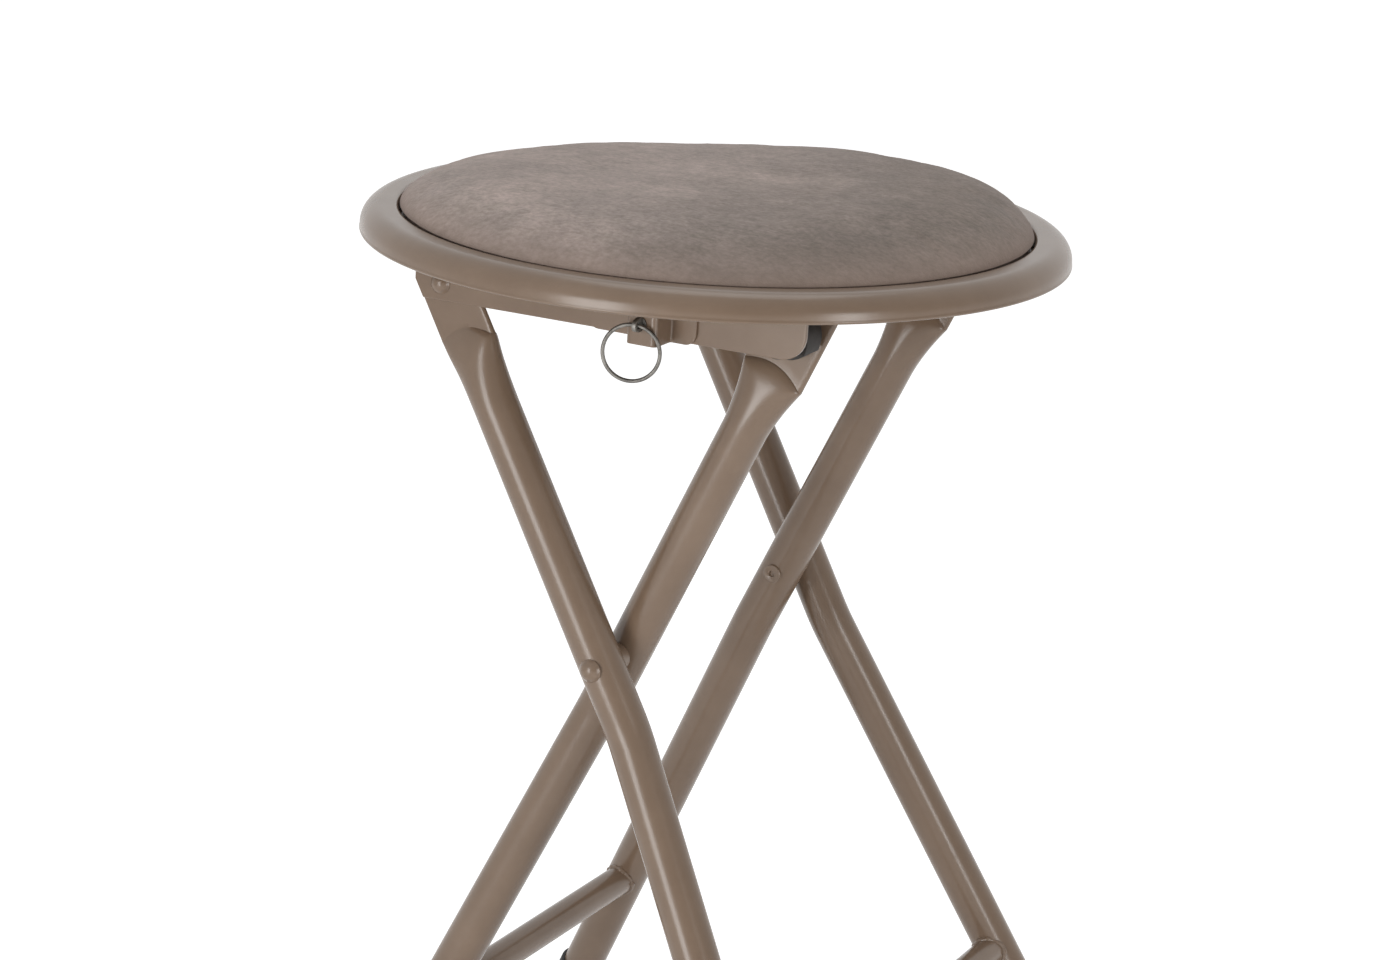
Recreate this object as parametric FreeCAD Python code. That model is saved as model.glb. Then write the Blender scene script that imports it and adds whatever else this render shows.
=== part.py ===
import FreeCAD, Part
import math
import os

# Folding stool: a padded seat in a pressed steel pan, on two crossed frames of round tube.
# Lengths are in millimetres. The floor is at height zero and the origin lies on the floor under
# the seat's centre. X runs along the two rails under the seat, and the latch is on the -Y side.

V = FreeCAD.Vector
NEAR = -1
FAR = 1

# Running and fitting clearances
RUNNING_FIT = 0.05       # radial, pin in a hole that turns or slides on it
HOLE_FIT = 0.03          # radial, a fastener in its hole
FACE_GAP = 0.1           # between flat faces that turn on each other
SOFT_GAP = 0.3           # foam or cover beside a hard piece
CUT_OVERRUN = 5.0        # how far a cutting tool runs past the piece

# Leg frames
PIVOT_HEIGHT = 406.5     # seat pivots and top pins above the floor
SEAT_PIVOT_X = -74.6
TOP_PIN_X = 74.8
CROSSING_X = 7.0         # pivot where the frames cross
CROSSING_DROP = 148.9    # crossing pivot below the seat pivots
TUBE_DIAMETER = 19.0
TUBE_WALL = 1.2
OUTER_LEG_Y = 93.5       # centre plane of the outer legs
SPACER_GAP = 4.3         # between the outer and the inner tube at the crossing
BEND_BELOW_CROSSING = 30.8
BEND_RADIUS = 80.0
OUTER_SPLAY_DEG = 9.6
INNER_SPLAY_DEG = 5.6
CROSSBAR_DIAMETER = 14.0
OUTER_CROSSBAR_HEIGHT = 78.0
INNER_CROSSBAR_HEIGHT = 82.0

# Flattened leg tops
PLATE_THICKNESS = 3.0
OUTER_PLATE_WIDTH = 25.6
INNER_PLATE_WIDTH = 28.4
OUTER_PLATE_LENGTH = 28.0  # flat part below the pivot
INNER_PLATE_LENGTH = 22.5
OUTER_END_RADIUS = 14.3  # end rounded about the pivot
INNER_END_RADIUS = 18.3
END_BELOW_PAN = 0.8      # end trimmed level under the pan
FLARE_LENGTH = 27.5      # from the flat part to the round tube
FLARE_PLACE_SHARES = [0.0, 0.09, 0.27, 0.56, 1.0]
FLARE_THICKNESS_SHARES = [0.0, 0.375, 0.656, 0.875, 1.0]
FLARE_WIDTH_SHARES = [0.0, 0.255, 0.574, 0.84, 1.0]
ROUND_SPLIT_DEG = 60.0   # where the round section's six edges meet

# Rubber feet
FOOT_WALL = 1.5
FOOT_HEIGHT = 27.5       # top edge above the floor, on the leg's axis
SOLE_THICKNESS = 4.0
FOOT_LIP_ROUNDING = 0.9

# Crossing pivot
CROSSING_RIVET_RADIUS = 3.0
CROSSING_HEAD_RADIUS = 4.8
CROSSING_HEAD_RISE = 3.0
CROSSING_TAIL_RADIUS = 4.2
CROSSING_TAIL_THICKNESS = 1.0
CROSSING_TAIL_BORE = 1.5
CROSSING_TAIL_DEPTH = 4.0
SPACER_RADIUS = 6.0

# Seat pivots
SEAT_RIVET_RADIUS = 3.0
SEAT_HEAD_RADIUS = 4.5
SEAT_HEAD_RISE = 3.0
SEAT_TAIL_RADIUS = 4.5
SEAT_TAIL_THICKNESS = 0.9
WASHER_RADIUS = 6.5
WASHER_THICKNESS = 0.8

# Top pins of the inner frame, their bushes and the hooks that hold them
PIN_RADIUS = 4.0
PIN_TAIL_RADIUS = 5.5
PIN_TAIL_THICKNESS = 1.4
PIN_HEAD_RADIUS = 6.0
PIN_HEAD_THICKNESS = 1.0
BUSH_RADIUS = 11.0
BUSH_LENGTH = 16.3
BUSH_GAP = 0.3           # bush to leg plate, to link and to hook
HOOK_THICKNESS = 2.0
HOOK_WIDTH = 13.0
HOOK_START_DEG = -25.0   # end of the hook's lip, from +X towards +Z
HOOK_PAD_LENGTH = 30.0
HOOK_INSET = 0.8         # hook's side inside the bush's outer end

# Rails under the pan
RAIL_SHEET = 2.0
RAIL_DEPTH = 22.4        # bottom edge below the flange's top face
RAIL_LEFT = 12.4         # web past the seat pivot
RAIL_RIGHT = 17.6        # web past the top pin
RAIL_LEFT_CORNER = 0.3   # slant of the web's left end starts this far above the pivot
RAIL_LEFT_ROUNDING = 0.8
RAIL_RIGHT_ROUNDING = 10.0
RAIL_TAB = 4.6           # flare at the web's top right corner
RAIL_OUTER_BEND = 3.0
RAIL_INNER_BEND = 1.0
FLANGE_WIDTH = 22.0
FLANGE_LEFT = 16.6       # flange starts this far right of the seat pivot
FLANGE_RIGHT = 5.2       # flange ends this far right of the top pin
FLANGE_ABOVE_PIVOT = 15.3

# Seat pan
PAN_SHEET = 1.2
PAN_OPENING_RADIUS = 72.0
SEAT_RADIUS = 150.0
RIM_WIDTH = 16.0         # outer wall to the face beside the cushion
RIM_RISE = 8.0           # rim top above the pan's floor
RIM_SHOULDER = 8.5
RIM_INNER_BEND = 1.8
PAN_FLOOR_BEND = 1.5
LIP_BELOW_FLOOR = 1.8    # lowest point of the rolled lip below the pan's underside
LIP_BEAD = 1.1
LIP_BULGE = 0.4          # bead past the outer wall

# Padding
CUSHION_GAP = 0.5        # cushion's skirt to the pan's rim
BOARD_THICKNESS = 5.5
SKIRT_THICKNESS = 4.2
HEM_THICKNESS = 0.8
HEM_WIDTH = 27.0
CUSHION_RISE = 17.0      # crown above the rim
CUSHION_SIDE_SHARES = [(0.9955, 0.0), (0.9965, 0.09), (0.985, 0.215)]
CUSHION_SHOULDER_SHARES = [(0.955, 0.41), (0.91, 0.6)]
CUSHION_CROWN_SHARES = [(0.84, 0.77), (0.7, 0.931)]

# Staples
STAPLE_COUNT = 12
STAPLE_CROWN = 10.0
STAPLE_LEG = 4.0
STAPLE_WIDTH = 1.0
STAPLE_WIRE = 0.5
STAPLE_CLEAR = 0.1       # crown above the pan's floor

# Screws that hold the rails and the pan to the board
SCREW_RADIUS = 2.0
SCREW_HEAD_RADIUS = 4.0
SCREW_HEAD_HEIGHT = 2.2
SCREW_RECESS_RADIUS = 1.4
SCREW_RECESS_DEPTH = 1.2
SCREW_IN_BOARD = 4.0
SCREW_LEFT_X = -40.0
SCREW_FROM_PAD_END = 8.0
SCREW_FROM_HOOK_EDGE = 3.6

# Latch bracket on the near rail
LATCH_X = 27.35          # plunger's place along the rail
LATCH_ABOVE_PIVOT = 2.3  # plunger above the seat pivots
BRACKET_SHEET = 1.3
BRACKET_BOX_WIDTH = 13.5
BRACKET_DEPTH = 14.0     # from the rail's face to the box's front
BRACKET_BEND = 2.0
BRACKET_BELOW = 8.8      # bottom edge below the plunger
BRACKET_ABOVE = 7.2      # top edge above the plunger
BRACKET_LEFT_FLANGE = 24.6
BRACKET_RIGHT_FLANGE = 11.1
BRACKET_ROUNDING = 5.0
LATCH_RIVET_RADIUS = 1.5
LATCH_RIVET_HEAD_RADIUS = 2.2
LATCH_RIVET_HEAD_RISE = 1.1
LATCH_RIVET_TAIL_RADIUS = 2.2
LATCH_RIVET_TAIL_THICKNESS = 0.8
LATCH_RIVET_LEFT = 17.1  # from the box's side to the left rivet
LATCH_RIVET_RIGHT = 5.4
LATCH_RIVET_RISE = 4.4   # both rivets above the plunger

# Plunger, its spring and the pull ring
PLUNGER_RADIUS = 2.5
PLUNGER_TIP_PAST_LINK = 0.4
PLUNGER_CHAMFER = 0.5
COLLAR_RADIUS = 4.2
COLLAR_THICKNESS = 1.5
COLLAR_FROM_RAIL = 1.6
NOSE_START = 0.4         # flat of the nose outside the bracket
NOSE_LENGTH = 6.0
NOSE_THICKNESS = 1.8
EYE_FROM_FRONT = 3.2
EYE_RADIUS = 1.35
SPRING_WIRE_RADIUS = 0.35
SPRING_COIL_RADIUS = 3.2
SPRING_TURNS = 5
SPRING_END_GAP = 0.1
RING_RADIUS = 11.4
RING_WIRE_RADIUS = 0.8
RING_TURN_DEG = 20       # the ring hangs turned about the vertical
RING_ASKEW_DEG = 9       # and a little to the left of the eye

# Lock link from the near top pin to the plunger
LINK_HALF_WIDTH = 6.0
LINK_THICKNESS = 2.0
LINK_HOLE_FIT = 0.1

# Places worked out from the sizes
TUBE_RADIUS = TUBE_DIAMETER / 2
BORE_RADIUS = TUBE_RADIUS - TUBE_WALL
FOOT_RADIUS = TUBE_RADIUS + FOOT_WALL
INNER_LEG_Y = OUTER_LEG_Y - TUBE_DIAMETER - SPACER_GAP
CROSSING_HEIGHT = PIVOT_HEIGHT - CROSSING_DROP
OUTER_LEAN_DEG = math.degrees(math.atan2(CROSSING_X - SEAT_PIVOT_X, CROSSING_DROP))
INNER_LEAN_DEG = math.degrees(math.atan2(TOP_PIN_X - CROSSING_X, CROSSING_DROP))
OUTER_UPPER = math.hypot(CROSSING_X - SEAT_PIVOT_X, CROSSING_DROP)
INNER_UPPER = math.hypot(TOP_PIN_X - CROSSING_X, CROSSING_DROP)

RAIL_INNER_Y = OUTER_LEG_Y + PLATE_THICKNESS / 2 + WASHER_THICKNESS + 2 * FACE_GAP
RAIL_OUTER_Y = RAIL_INNER_Y + RAIL_SHEET
FLANGE_TOP = PIVOT_HEIGHT + FLANGE_ABOVE_PIVOT
FLANGE_BOTTOM = FLANGE_TOP - RAIL_SHEET
RAIL_BOTTOM = FLANGE_TOP - RAIL_DEPTH
BUSH_START_Y = INNER_LEG_Y + PLATE_THICKNESS / 2 + BUSH_GAP
BUSH_END_Y = BUSH_START_Y + BUSH_LENGTH
LINK_START_Y = BUSH_END_Y + BUSH_GAP
LINK_END_Y = LINK_START_Y + LINK_THICKNESS
HOOK_RADIUS = FLANGE_BOTTOM - PIVOT_HEIGHT
HOOK_END_Y = BUSH_END_Y - HOOK_INSET
PAD_END_X = TOP_PIN_X - HOOK_PAD_LENGTH
SCREW_RIGHT_X = PAD_END_X + SCREW_FROM_PAD_END
SCREW_Y = HOOK_END_Y - SCREW_FROM_HOOK_EDGE

PAN_FLOOR = FLANGE_TOP + PAN_SHEET
RIM_TOP = PAN_FLOOR + RIM_RISE
RIM_INNER_RADIUS = SEAT_RADIUS - RIM_WIDTH
LIP_BOTTOM = FLANGE_TOP - LIP_BELOW_FLOOR
CUSHION_RADIUS = RIM_INNER_RADIUS - CUSHION_GAP
BOARD_BOTTOM = PAN_FLOOR + HEM_THICKNESS
BOARD_TOP = BOARD_BOTTOM + BOARD_THICKNESS
BOARD_RADIUS = CUSHION_RADIUS - SKIRT_THICKNESS - SOFT_GAP

LATCH_HEIGHT = PIVOT_HEIGHT + LATCH_ABOVE_PIVOT
BRACKET_FRONT_Y = RAIL_OUTER_Y + BRACKET_DEPTH
BRACKET_WALL_Y = BRACKET_FRONT_Y - BRACKET_SHEET
BRACKET_FACE_Y = RAIL_OUTER_Y + BRACKET_SHEET
BRACKET_BOTTOM = LATCH_HEIGHT - BRACKET_BELOW
BRACKET_TOP = LATCH_HEIGHT + BRACKET_ABOVE
COLLAR_START_Y = RAIL_OUTER_Y + COLLAR_FROM_RAIL
COLLAR_END_Y = COLLAR_START_Y + COLLAR_THICKNESS
PLUNGER_TIP_Y = LINK_START_Y - PLUNGER_TIP_PAST_LINK
EYE_Y = BRACKET_FRONT_Y + EYE_FROM_FRONT


# General shapes

def at(x, side, out, z):
    """Point at x and height z, and at distance out from the middle plane on one side."""
    return V(x, side * out, z)


def rod(radius, x, side, start, end, z):
    """Cylinder along Y on one side, from one distance out to another."""
    return Part.makeCylinder(radius, end - start, at(x, side, start, z), V(0, side, 0))


def dome(radius, rise, x, side, out, z):
    """Rivet head: a cap cut from a ball, with its flat face at distance out."""
    ball = (radius ** 2 + rise ** 2) / (2 * rise)
    sphere = Part.makeSphere(ball, at(x, side, out + rise - ball, z))
    return sphere.common(rod(radius + rise, x, side, out, out + rise, z))


def block(x0, x1, y0, y1, z0, z1):
    """Box between two corners given as ranges."""
    return Part.makeBox(x1 - x0, y1 - y0, z1 - z0, V(x0, y0, z0))


def side_block(x0, x1, side, out0, out1, z0, z1):
    """Box on one side, given by its distances out from the middle plane."""
    low, high = sorted((side * out0, side * out1))
    return block(x0, x1, low, high, z0, z1)


def rounded(corners, place):
    """Closed wire through corners (u, v, rounding), each rounded by a tangent arc."""
    count = len(corners)
    cuts = []
    for index in range(count):
        u, v, rounding = corners[index]
        before = corners[index - 1]
        after = corners[(index + 1) % count]
        back = V(before[0] - u, before[1] - v, 0).normalize()
        ahead = V(after[0] - u, after[1] - v, 0).normalize()
        corner = V(u, v, 0)
        if rounding == 0:
            cuts.append((corner, None, corner))
            continue
        half = back.getAngle(ahead) / 2
        reach = rounding / math.tan(half)
        bisector = (back + ahead).normalize()
        middle = corner + bisector * (rounding / math.sin(half) - rounding)
        cuts.append((corner + back * reach, middle, corner + ahead * reach))
    edges = []
    for index in range(count):
        start, middle, end = cuts[index]
        if middle is not None:
            edges.append(Part.Arc(place(start), place(middle), place(end)).toShape())
        following = cuts[(index + 1) % count][0]
        if (following - end).Length > RUNNING_FIT:
            edges.append(Part.LineSegment(place(end), place(following)).toShape())
    return Part.Wire(edges)


def upright_sheet(corners, side, out0, out1):
    """Plate parallel to XZ from its outline (x, z, rounding), between two distances out."""
    wire = rounded(corners, lambda p: at(p.x, side, out0, p.y))
    return Part.Face(wire).extrude(V(0, side * (out1 - out0), 0))


def turned(edges):
    """Solid of revolution about Z from edges that close an outline in the XZ half plane."""
    face = Part.Face(Part.Wire(Part.sortEdges(edges)[0]))
    return face.revolve(V(0, 0, 0), V(0, 0, 1), 360)


def line(a, b):
    """Straight edge in the XZ half plane between (radius, height) points."""
    return Part.LineSegment(V(a[0], 0, a[1]), V(b[0], 0, b[1])).toShape()


def arc(a, b, c):
    """Arc through three (radius, height) points."""
    return Part.Arc(V(a[0], 0, a[1]), V(b[0], 0, b[1]), V(c[0], 0, c[1])).toShape()


def bend(centre, radius, start_deg, end_deg):
    """Arc about a (radius, height) centre between two angles."""
    points = []
    for angle in (start_deg, (start_deg + end_deg) / 2, end_deg):
        turn = math.radians(angle)
        points.append((centre[0] + radius * math.cos(turn), centre[1] + radius * math.sin(turn)))
    return arc(*points)


# Legs

def oval_wire(half_width, half_thickness, height):
    """Level section of six edges: two broad sides and four end arcs; round if they are equal."""
    flat = half_width - half_thickness
    corner_deg = 90.0 if flat > 0 else ROUND_SPLIT_DEG

    def point(end, angle_deg):
        turn = math.radians(angle_deg)
        return V(end * (flat + half_thickness * math.cos(turn)), half_thickness * math.sin(turn), height)

    def broad(end, sign):
        a, b = point(end, sign * corner_deg), point(-end, sign * corner_deg)
        if flat > 0:
            return Part.LineSegment(a, b).toShape()
        return Part.Arc(a, V(0, sign * half_thickness, height), b).toShape()

    def end_arc(end, first, last):
        return Part.Arc(point(end, first), point(end, (first + last) / 2), point(end, last)).toShape()

    return Part.Wire([
        broad(1, 1),
        end_arc(-1, corner_deg, 0), end_arc(-1, 0, -corner_deg),
        broad(-1, -1),
        end_arc(1, -corner_deg, 0), end_arc(1, 0, corner_deg)])


def flare(width, length, inset, first):
    """Loft from the flattened end to the round tube, inset by the wall for the hollow."""
    wires = []
    for place, thick, wide in list(zip(
            FLARE_PLACE_SHARES, FLARE_THICKNESS_SHARES, FLARE_WIDTH_SHARES))[first:]:
        half_thickness = (PLATE_THICKNESS + thick * (TUBE_DIAMETER - PLATE_THICKNESS)) / 2 - inset
        half_width = (width + wide * (TUBE_DIAMETER - width)) / 2 - inset
        wires.append(oval_wire(half_width, half_thickness, -length - place * FLARE_LENGTH))
    return Part.makeLoft(wires, True, True)


def leg_plate(width, length, end_radius):
    """Flattened top with folded edges and an end rounded about the pivot hole."""
    strip = Part.Face(oval_wire(width / 2, PLATE_THICKNESS / 2, -length))
    strip = strip.extrude(V(0, 0, length + end_radius + CUT_OVERRUN))
    end = Part.makeCylinder(end_radius, PLATE_THICKNESS, V(0, -PLATE_THICKNESS / 2, 0), V(0, 1, 0))
    below = block(-end_radius, end_radius, -PLATE_THICKNESS / 2, PLATE_THICKNESS / 2, -length, 0)
    return strip.common(end.fuse(below))


def leg_run(radius, side, flat_end, bend_at, splay_deg, total):
    """Round run from the flare down past the bend to the tube's end, splayed to one side."""
    splay = math.radians(splay_deg)
    reach = BEND_RADIUS * math.tan(splay / 2)
    corner = V(0, 0, -bend_at)
    down = V(0, side * math.sin(splay), -math.cos(splay))
    start = V(0, 0, -flat_end - FLARE_LENGTH)
    first = corner + V(0, 0, reach)
    last = corner + down * reach
    bisector = (V(0, 0, 1) + down).normalize()
    middle = corner + bisector * (BEND_RADIUS / math.cos(splay / 2) - BEND_RADIUS)
    end = corner + down * total
    path = Part.Wire([
        Part.LineSegment(start, first).toShape(),
        Part.Arc(first, middle, last).toShape(),
        Part.LineSegment(last, end).toShape()])
    section = Part.Wire([Part.Circle(start, V(0, 0, -1), radius).toShape()])
    return path.makePipeShell([section], True)


def lower_run(upper, lean_deg, splay_deg):
    """Length of the splayed run from the bend to the floor, along the leg's own axis."""
    bend_at = upper + BEND_BELOW_CROSSING
    upright = PIVOT_HEIGHT / math.cos(math.radians(lean_deg)) - bend_at
    return upright / math.cos(math.radians(splay_deg))


def leg_axis(pivot_x, out, side, upper, lean_deg, splay_deg, height):
    """Point of the splayed run's axis at a height above the floor."""
    along = (PIVOT_HEIGHT - height) / math.cos(math.radians(lean_deg))
    beyond = along - upper - BEND_BELOW_CROSSING
    x = pivot_x + along * math.sin(math.radians(lean_deg))
    return at(x, side, out + beyond * math.tan(math.radians(splay_deg)), height)


def leg(pivot_x, out, side, upper, lean_deg, splay_deg, flat_top, top_hole, crossing_hole):
    """Bent tube with a flattened top, holes for its two pivots and its end above the sole."""
    width, length, end_radius = flat_top
    bend_at = upper + BEND_BELOW_CROSSING
    total = lower_run(upper, lean_deg, splay_deg) + TUBE_DIAMETER
    tube = leg_run(TUBE_RADIUS, side, length, bend_at, splay_deg, total)
    bore = leg_run(BORE_RADIUS, side, length, bend_at, splay_deg, total + CUT_OVERRUN)
    body = Part.Solid(flare(width, length, 0, 0)).fuse([leg_plate(width, length, end_radius), tube])
    body = body.cut(flare(width, length, TUBE_WALL, 1).fuse(bore))
    turn = FreeCAD.Rotation(V(0, 1, 0), -lean_deg)
    body.Placement = FreeCAD.Placement(at(pivot_x, side, out, PIVOT_HEIGHT), turn)
    span = 4 * FOOT_RADIUS
    foot = leg_axis(pivot_x, out, side, upper, lean_deg, splay_deg, 0)
    floor = block(foot.x - span, foot.x + span, foot.y - span, foot.y + span, -span, SOLE_THICKNESS)
    body = body.cut(floor)
    body = body.cut(side_block(pivot_x - span, pivot_x + span, side, out - span, out + span,
                               FLANGE_TOP - END_BELOW_PAN, FLANGE_TOP + span))
    body = body.cut(rod(top_hole, pivot_x, side, out - TUBE_RADIUS, out + TUBE_RADIUS, PIVOT_HEIGHT))
    reach = TUBE_RADIUS + CUT_OVERRUN
    body = body.cut(rod(crossing_hole, CROSSING_X, side, out - reach, out + reach, CROSSING_HEIGHT))
    return body


def outer_leg(side):
    """Outer leg, from the seat pivot down to the right."""
    return leg(SEAT_PIVOT_X, OUTER_LEG_Y, side, OUTER_UPPER, OUTER_LEAN_DEG, OUTER_SPLAY_DEG,
               (OUTER_PLATE_WIDTH, OUTER_PLATE_LENGTH, OUTER_END_RADIUS),
               SEAT_RIVET_RADIUS + RUNNING_FIT, CROSSING_RIVET_RADIUS)


def inner_leg(side):
    """Inner leg, from the top pin down to the left."""
    return leg(TOP_PIN_X, INNER_LEG_Y, side, INNER_UPPER, -INNER_LEAN_DEG, INNER_SPLAY_DEG,
               (INNER_PLATE_WIDTH, INNER_PLATE_LENGTH, INNER_END_RADIUS),
               PIN_RADIUS, CROSSING_RIVET_RADIUS + RUNNING_FIT)


def outer_axis(side, height):
    """Point on an outer leg's splayed axis."""
    return leg_axis(SEAT_PIVOT_X, OUTER_LEG_Y, side, OUTER_UPPER, OUTER_LEAN_DEG, OUTER_SPLAY_DEG, height)


def inner_axis(side, height):
    """Point on an inner leg's splayed axis."""
    return leg_axis(TOP_PIN_X, INNER_LEG_Y, side, INNER_UPPER, -INNER_LEAN_DEG, INNER_SPLAY_DEG, height)


def crossbar(axis_point, height):
    """Tube between two legs, coped to their round sides."""
    near, far = axis_point(NEAR, height), axis_point(FAR, height)
    length = far.y - near.y
    radius = CROSSBAR_DIAMETER / 2
    bar = Part.makeCylinder(radius, length, near, V(0, 1, 0))
    bar = bar.cut(Part.makeCylinder(radius - TUBE_WALL, length, near, V(0, 1, 0)))
    for side in (NEAR, FAR):
        low = axis_point(side, height - TUBE_DIAMETER)
        high = axis_point(side, height + TUBE_DIAMETER)
        bar = bar.cut(Part.makeCylinder(TUBE_RADIUS, (high - low).Length, low, high - low))
    return bar


def foot(axis_point, side):
    """Rubber cap round a leg's end, flat where it meets the floor."""
    low = axis_point(side, -TUBE_DIAMETER)
    high = axis_point(side, FOOT_HEIGHT)
    up = high - low
    cap = Part.makeCylinder(FOOT_RADIUS, up.Length, low, up)
    top_edges = [e for e in cap.Edges if e.isClosed() and (e.CenterOfMass - high).Length < RUNNING_FIT]
    cap = cap.makeFillet(FOOT_LIP_ROUNDING, top_edges)
    bore = Part.makeCylinder(TUBE_RADIUS + HOLE_FIT, up.Length + CUT_OVERRUN, low, up)
    span = up.Length
    base = V(low.x - span, low.y - span, -span)
    bore = bore.cut(Part.makeBox(2 * span, 2 * span, span + SOLE_THICKNESS, base))
    return cap.cut(bore).cut(Part.makeBox(2 * span, 2 * span, span, base))


# Pivots between the frames

def crossing_rivet(side):
    """Rivet through both legs, with a domed head outside and a hollow flared tail inside."""
    head_y = OUTER_LEG_Y + TUBE_RADIUS
    tail_y = INNER_LEG_Y - TUBE_RADIUS - FACE_GAP
    rivet = rod(CROSSING_RIVET_RADIUS, CROSSING_X, side, tail_y, head_y, CROSSING_HEIGHT)
    rivet = rivet.fuse(dome(CROSSING_HEAD_RADIUS, CROSSING_HEAD_RISE, CROSSING_X, side, head_y, CROSSING_HEIGHT))
    tail_end = tail_y - CROSSING_TAIL_THICKNESS
    rivet = rivet.fuse(rod(CROSSING_TAIL_RADIUS, CROSSING_X, side, tail_end, tail_y, CROSSING_HEIGHT))
    hole_end = tail_end + CROSSING_TAIL_DEPTH
    return rivet.cut(rod(CROSSING_TAIL_BORE, CROSSING_X, side, tail_end, hole_end, CROSSING_HEIGHT))


def pivot_spacer(side):
    """Round spacer between the tubes, seated on the outer one."""
    start = INNER_LEG_Y + TUBE_RADIUS + FACE_GAP
    spacer = rod(SPACER_RADIUS, CROSSING_X, side, start, OUTER_LEG_Y, CROSSING_HEIGHT)
    top = at(SEAT_PIVOT_X, side, OUTER_LEG_Y, PIVOT_HEIGHT)
    crossing = at(CROSSING_X, side, OUTER_LEG_Y, CROSSING_HEIGHT)
    down = crossing - top
    tube = Part.makeCylinder(TUBE_RADIUS, 2 * down.Length, top, down)
    bore = rod(CROSSING_RIVET_RADIUS + HOLE_FIT, CROSSING_X, side, start, OUTER_LEG_Y, CROSSING_HEIGHT)
    return spacer.cut(tube).cut(bore)


def seat_rivet(side):
    """Rivet that the seat turns on: head outside the rail, tail inside the leg's plate."""
    tail_y = OUTER_LEG_Y - PLATE_THICKNESS / 2 - FACE_GAP
    rivet = rod(SEAT_RIVET_RADIUS, SEAT_PIVOT_X, side, tail_y, RAIL_OUTER_Y, PIVOT_HEIGHT)
    rivet = rivet.fuse(dome(SEAT_HEAD_RADIUS, SEAT_HEAD_RISE, SEAT_PIVOT_X, side, RAIL_OUTER_Y, PIVOT_HEIGHT))
    tail_end = tail_y - SEAT_TAIL_THICKNESS
    return rivet.fuse(rod(SEAT_TAIL_RADIUS, SEAT_PIVOT_X, side, tail_end, tail_y, PIVOT_HEIGHT))


def hinge_washer(side):
    """Washer between the leg's plate and the rail."""
    start = OUTER_LEG_Y + PLATE_THICKNESS / 2 + FACE_GAP
    end = start + WASHER_THICKNESS
    washer = rod(WASHER_RADIUS, SEAT_PIVOT_X, side, start, end, PIVOT_HEIGHT)
    return washer.cut(rod(SEAT_RIVET_RADIUS + HOLE_FIT, SEAT_PIVOT_X, side, start, end, PIVOT_HEIGHT))


def top_pin(side):
    """Headed pin riveted into the inner leg's plate."""
    tail_y = INNER_LEG_Y - PLATE_THICKNESS / 2
    head_y = LINK_END_Y + FACE_GAP if side == NEAR else BUSH_END_Y + FACE_GAP
    pin = rod(PIN_RADIUS, TOP_PIN_X, side, tail_y, head_y, PIVOT_HEIGHT)
    pin = pin.fuse(rod(PIN_TAIL_RADIUS, TOP_PIN_X, side, tail_y - PIN_TAIL_THICKNESS, tail_y, PIVOT_HEIGHT))
    return pin.fuse(rod(PIN_HEAD_RADIUS, TOP_PIN_X, side, head_y, head_y + PIN_HEAD_THICKNESS, PIVOT_HEIGHT))


def top_bush(side):
    """Plastic bush on the top pin, which rests in the hook."""
    bush = rod(BUSH_RADIUS, TOP_PIN_X, side, BUSH_START_Y, BUSH_END_Y, PIVOT_HEIGHT)
    return bush.cut(rod(PIN_RADIUS + HOLE_FIT, TOP_PIN_X, side, BUSH_START_Y, BUSH_END_Y, PIVOT_HEIGHT))


# Seat

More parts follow.
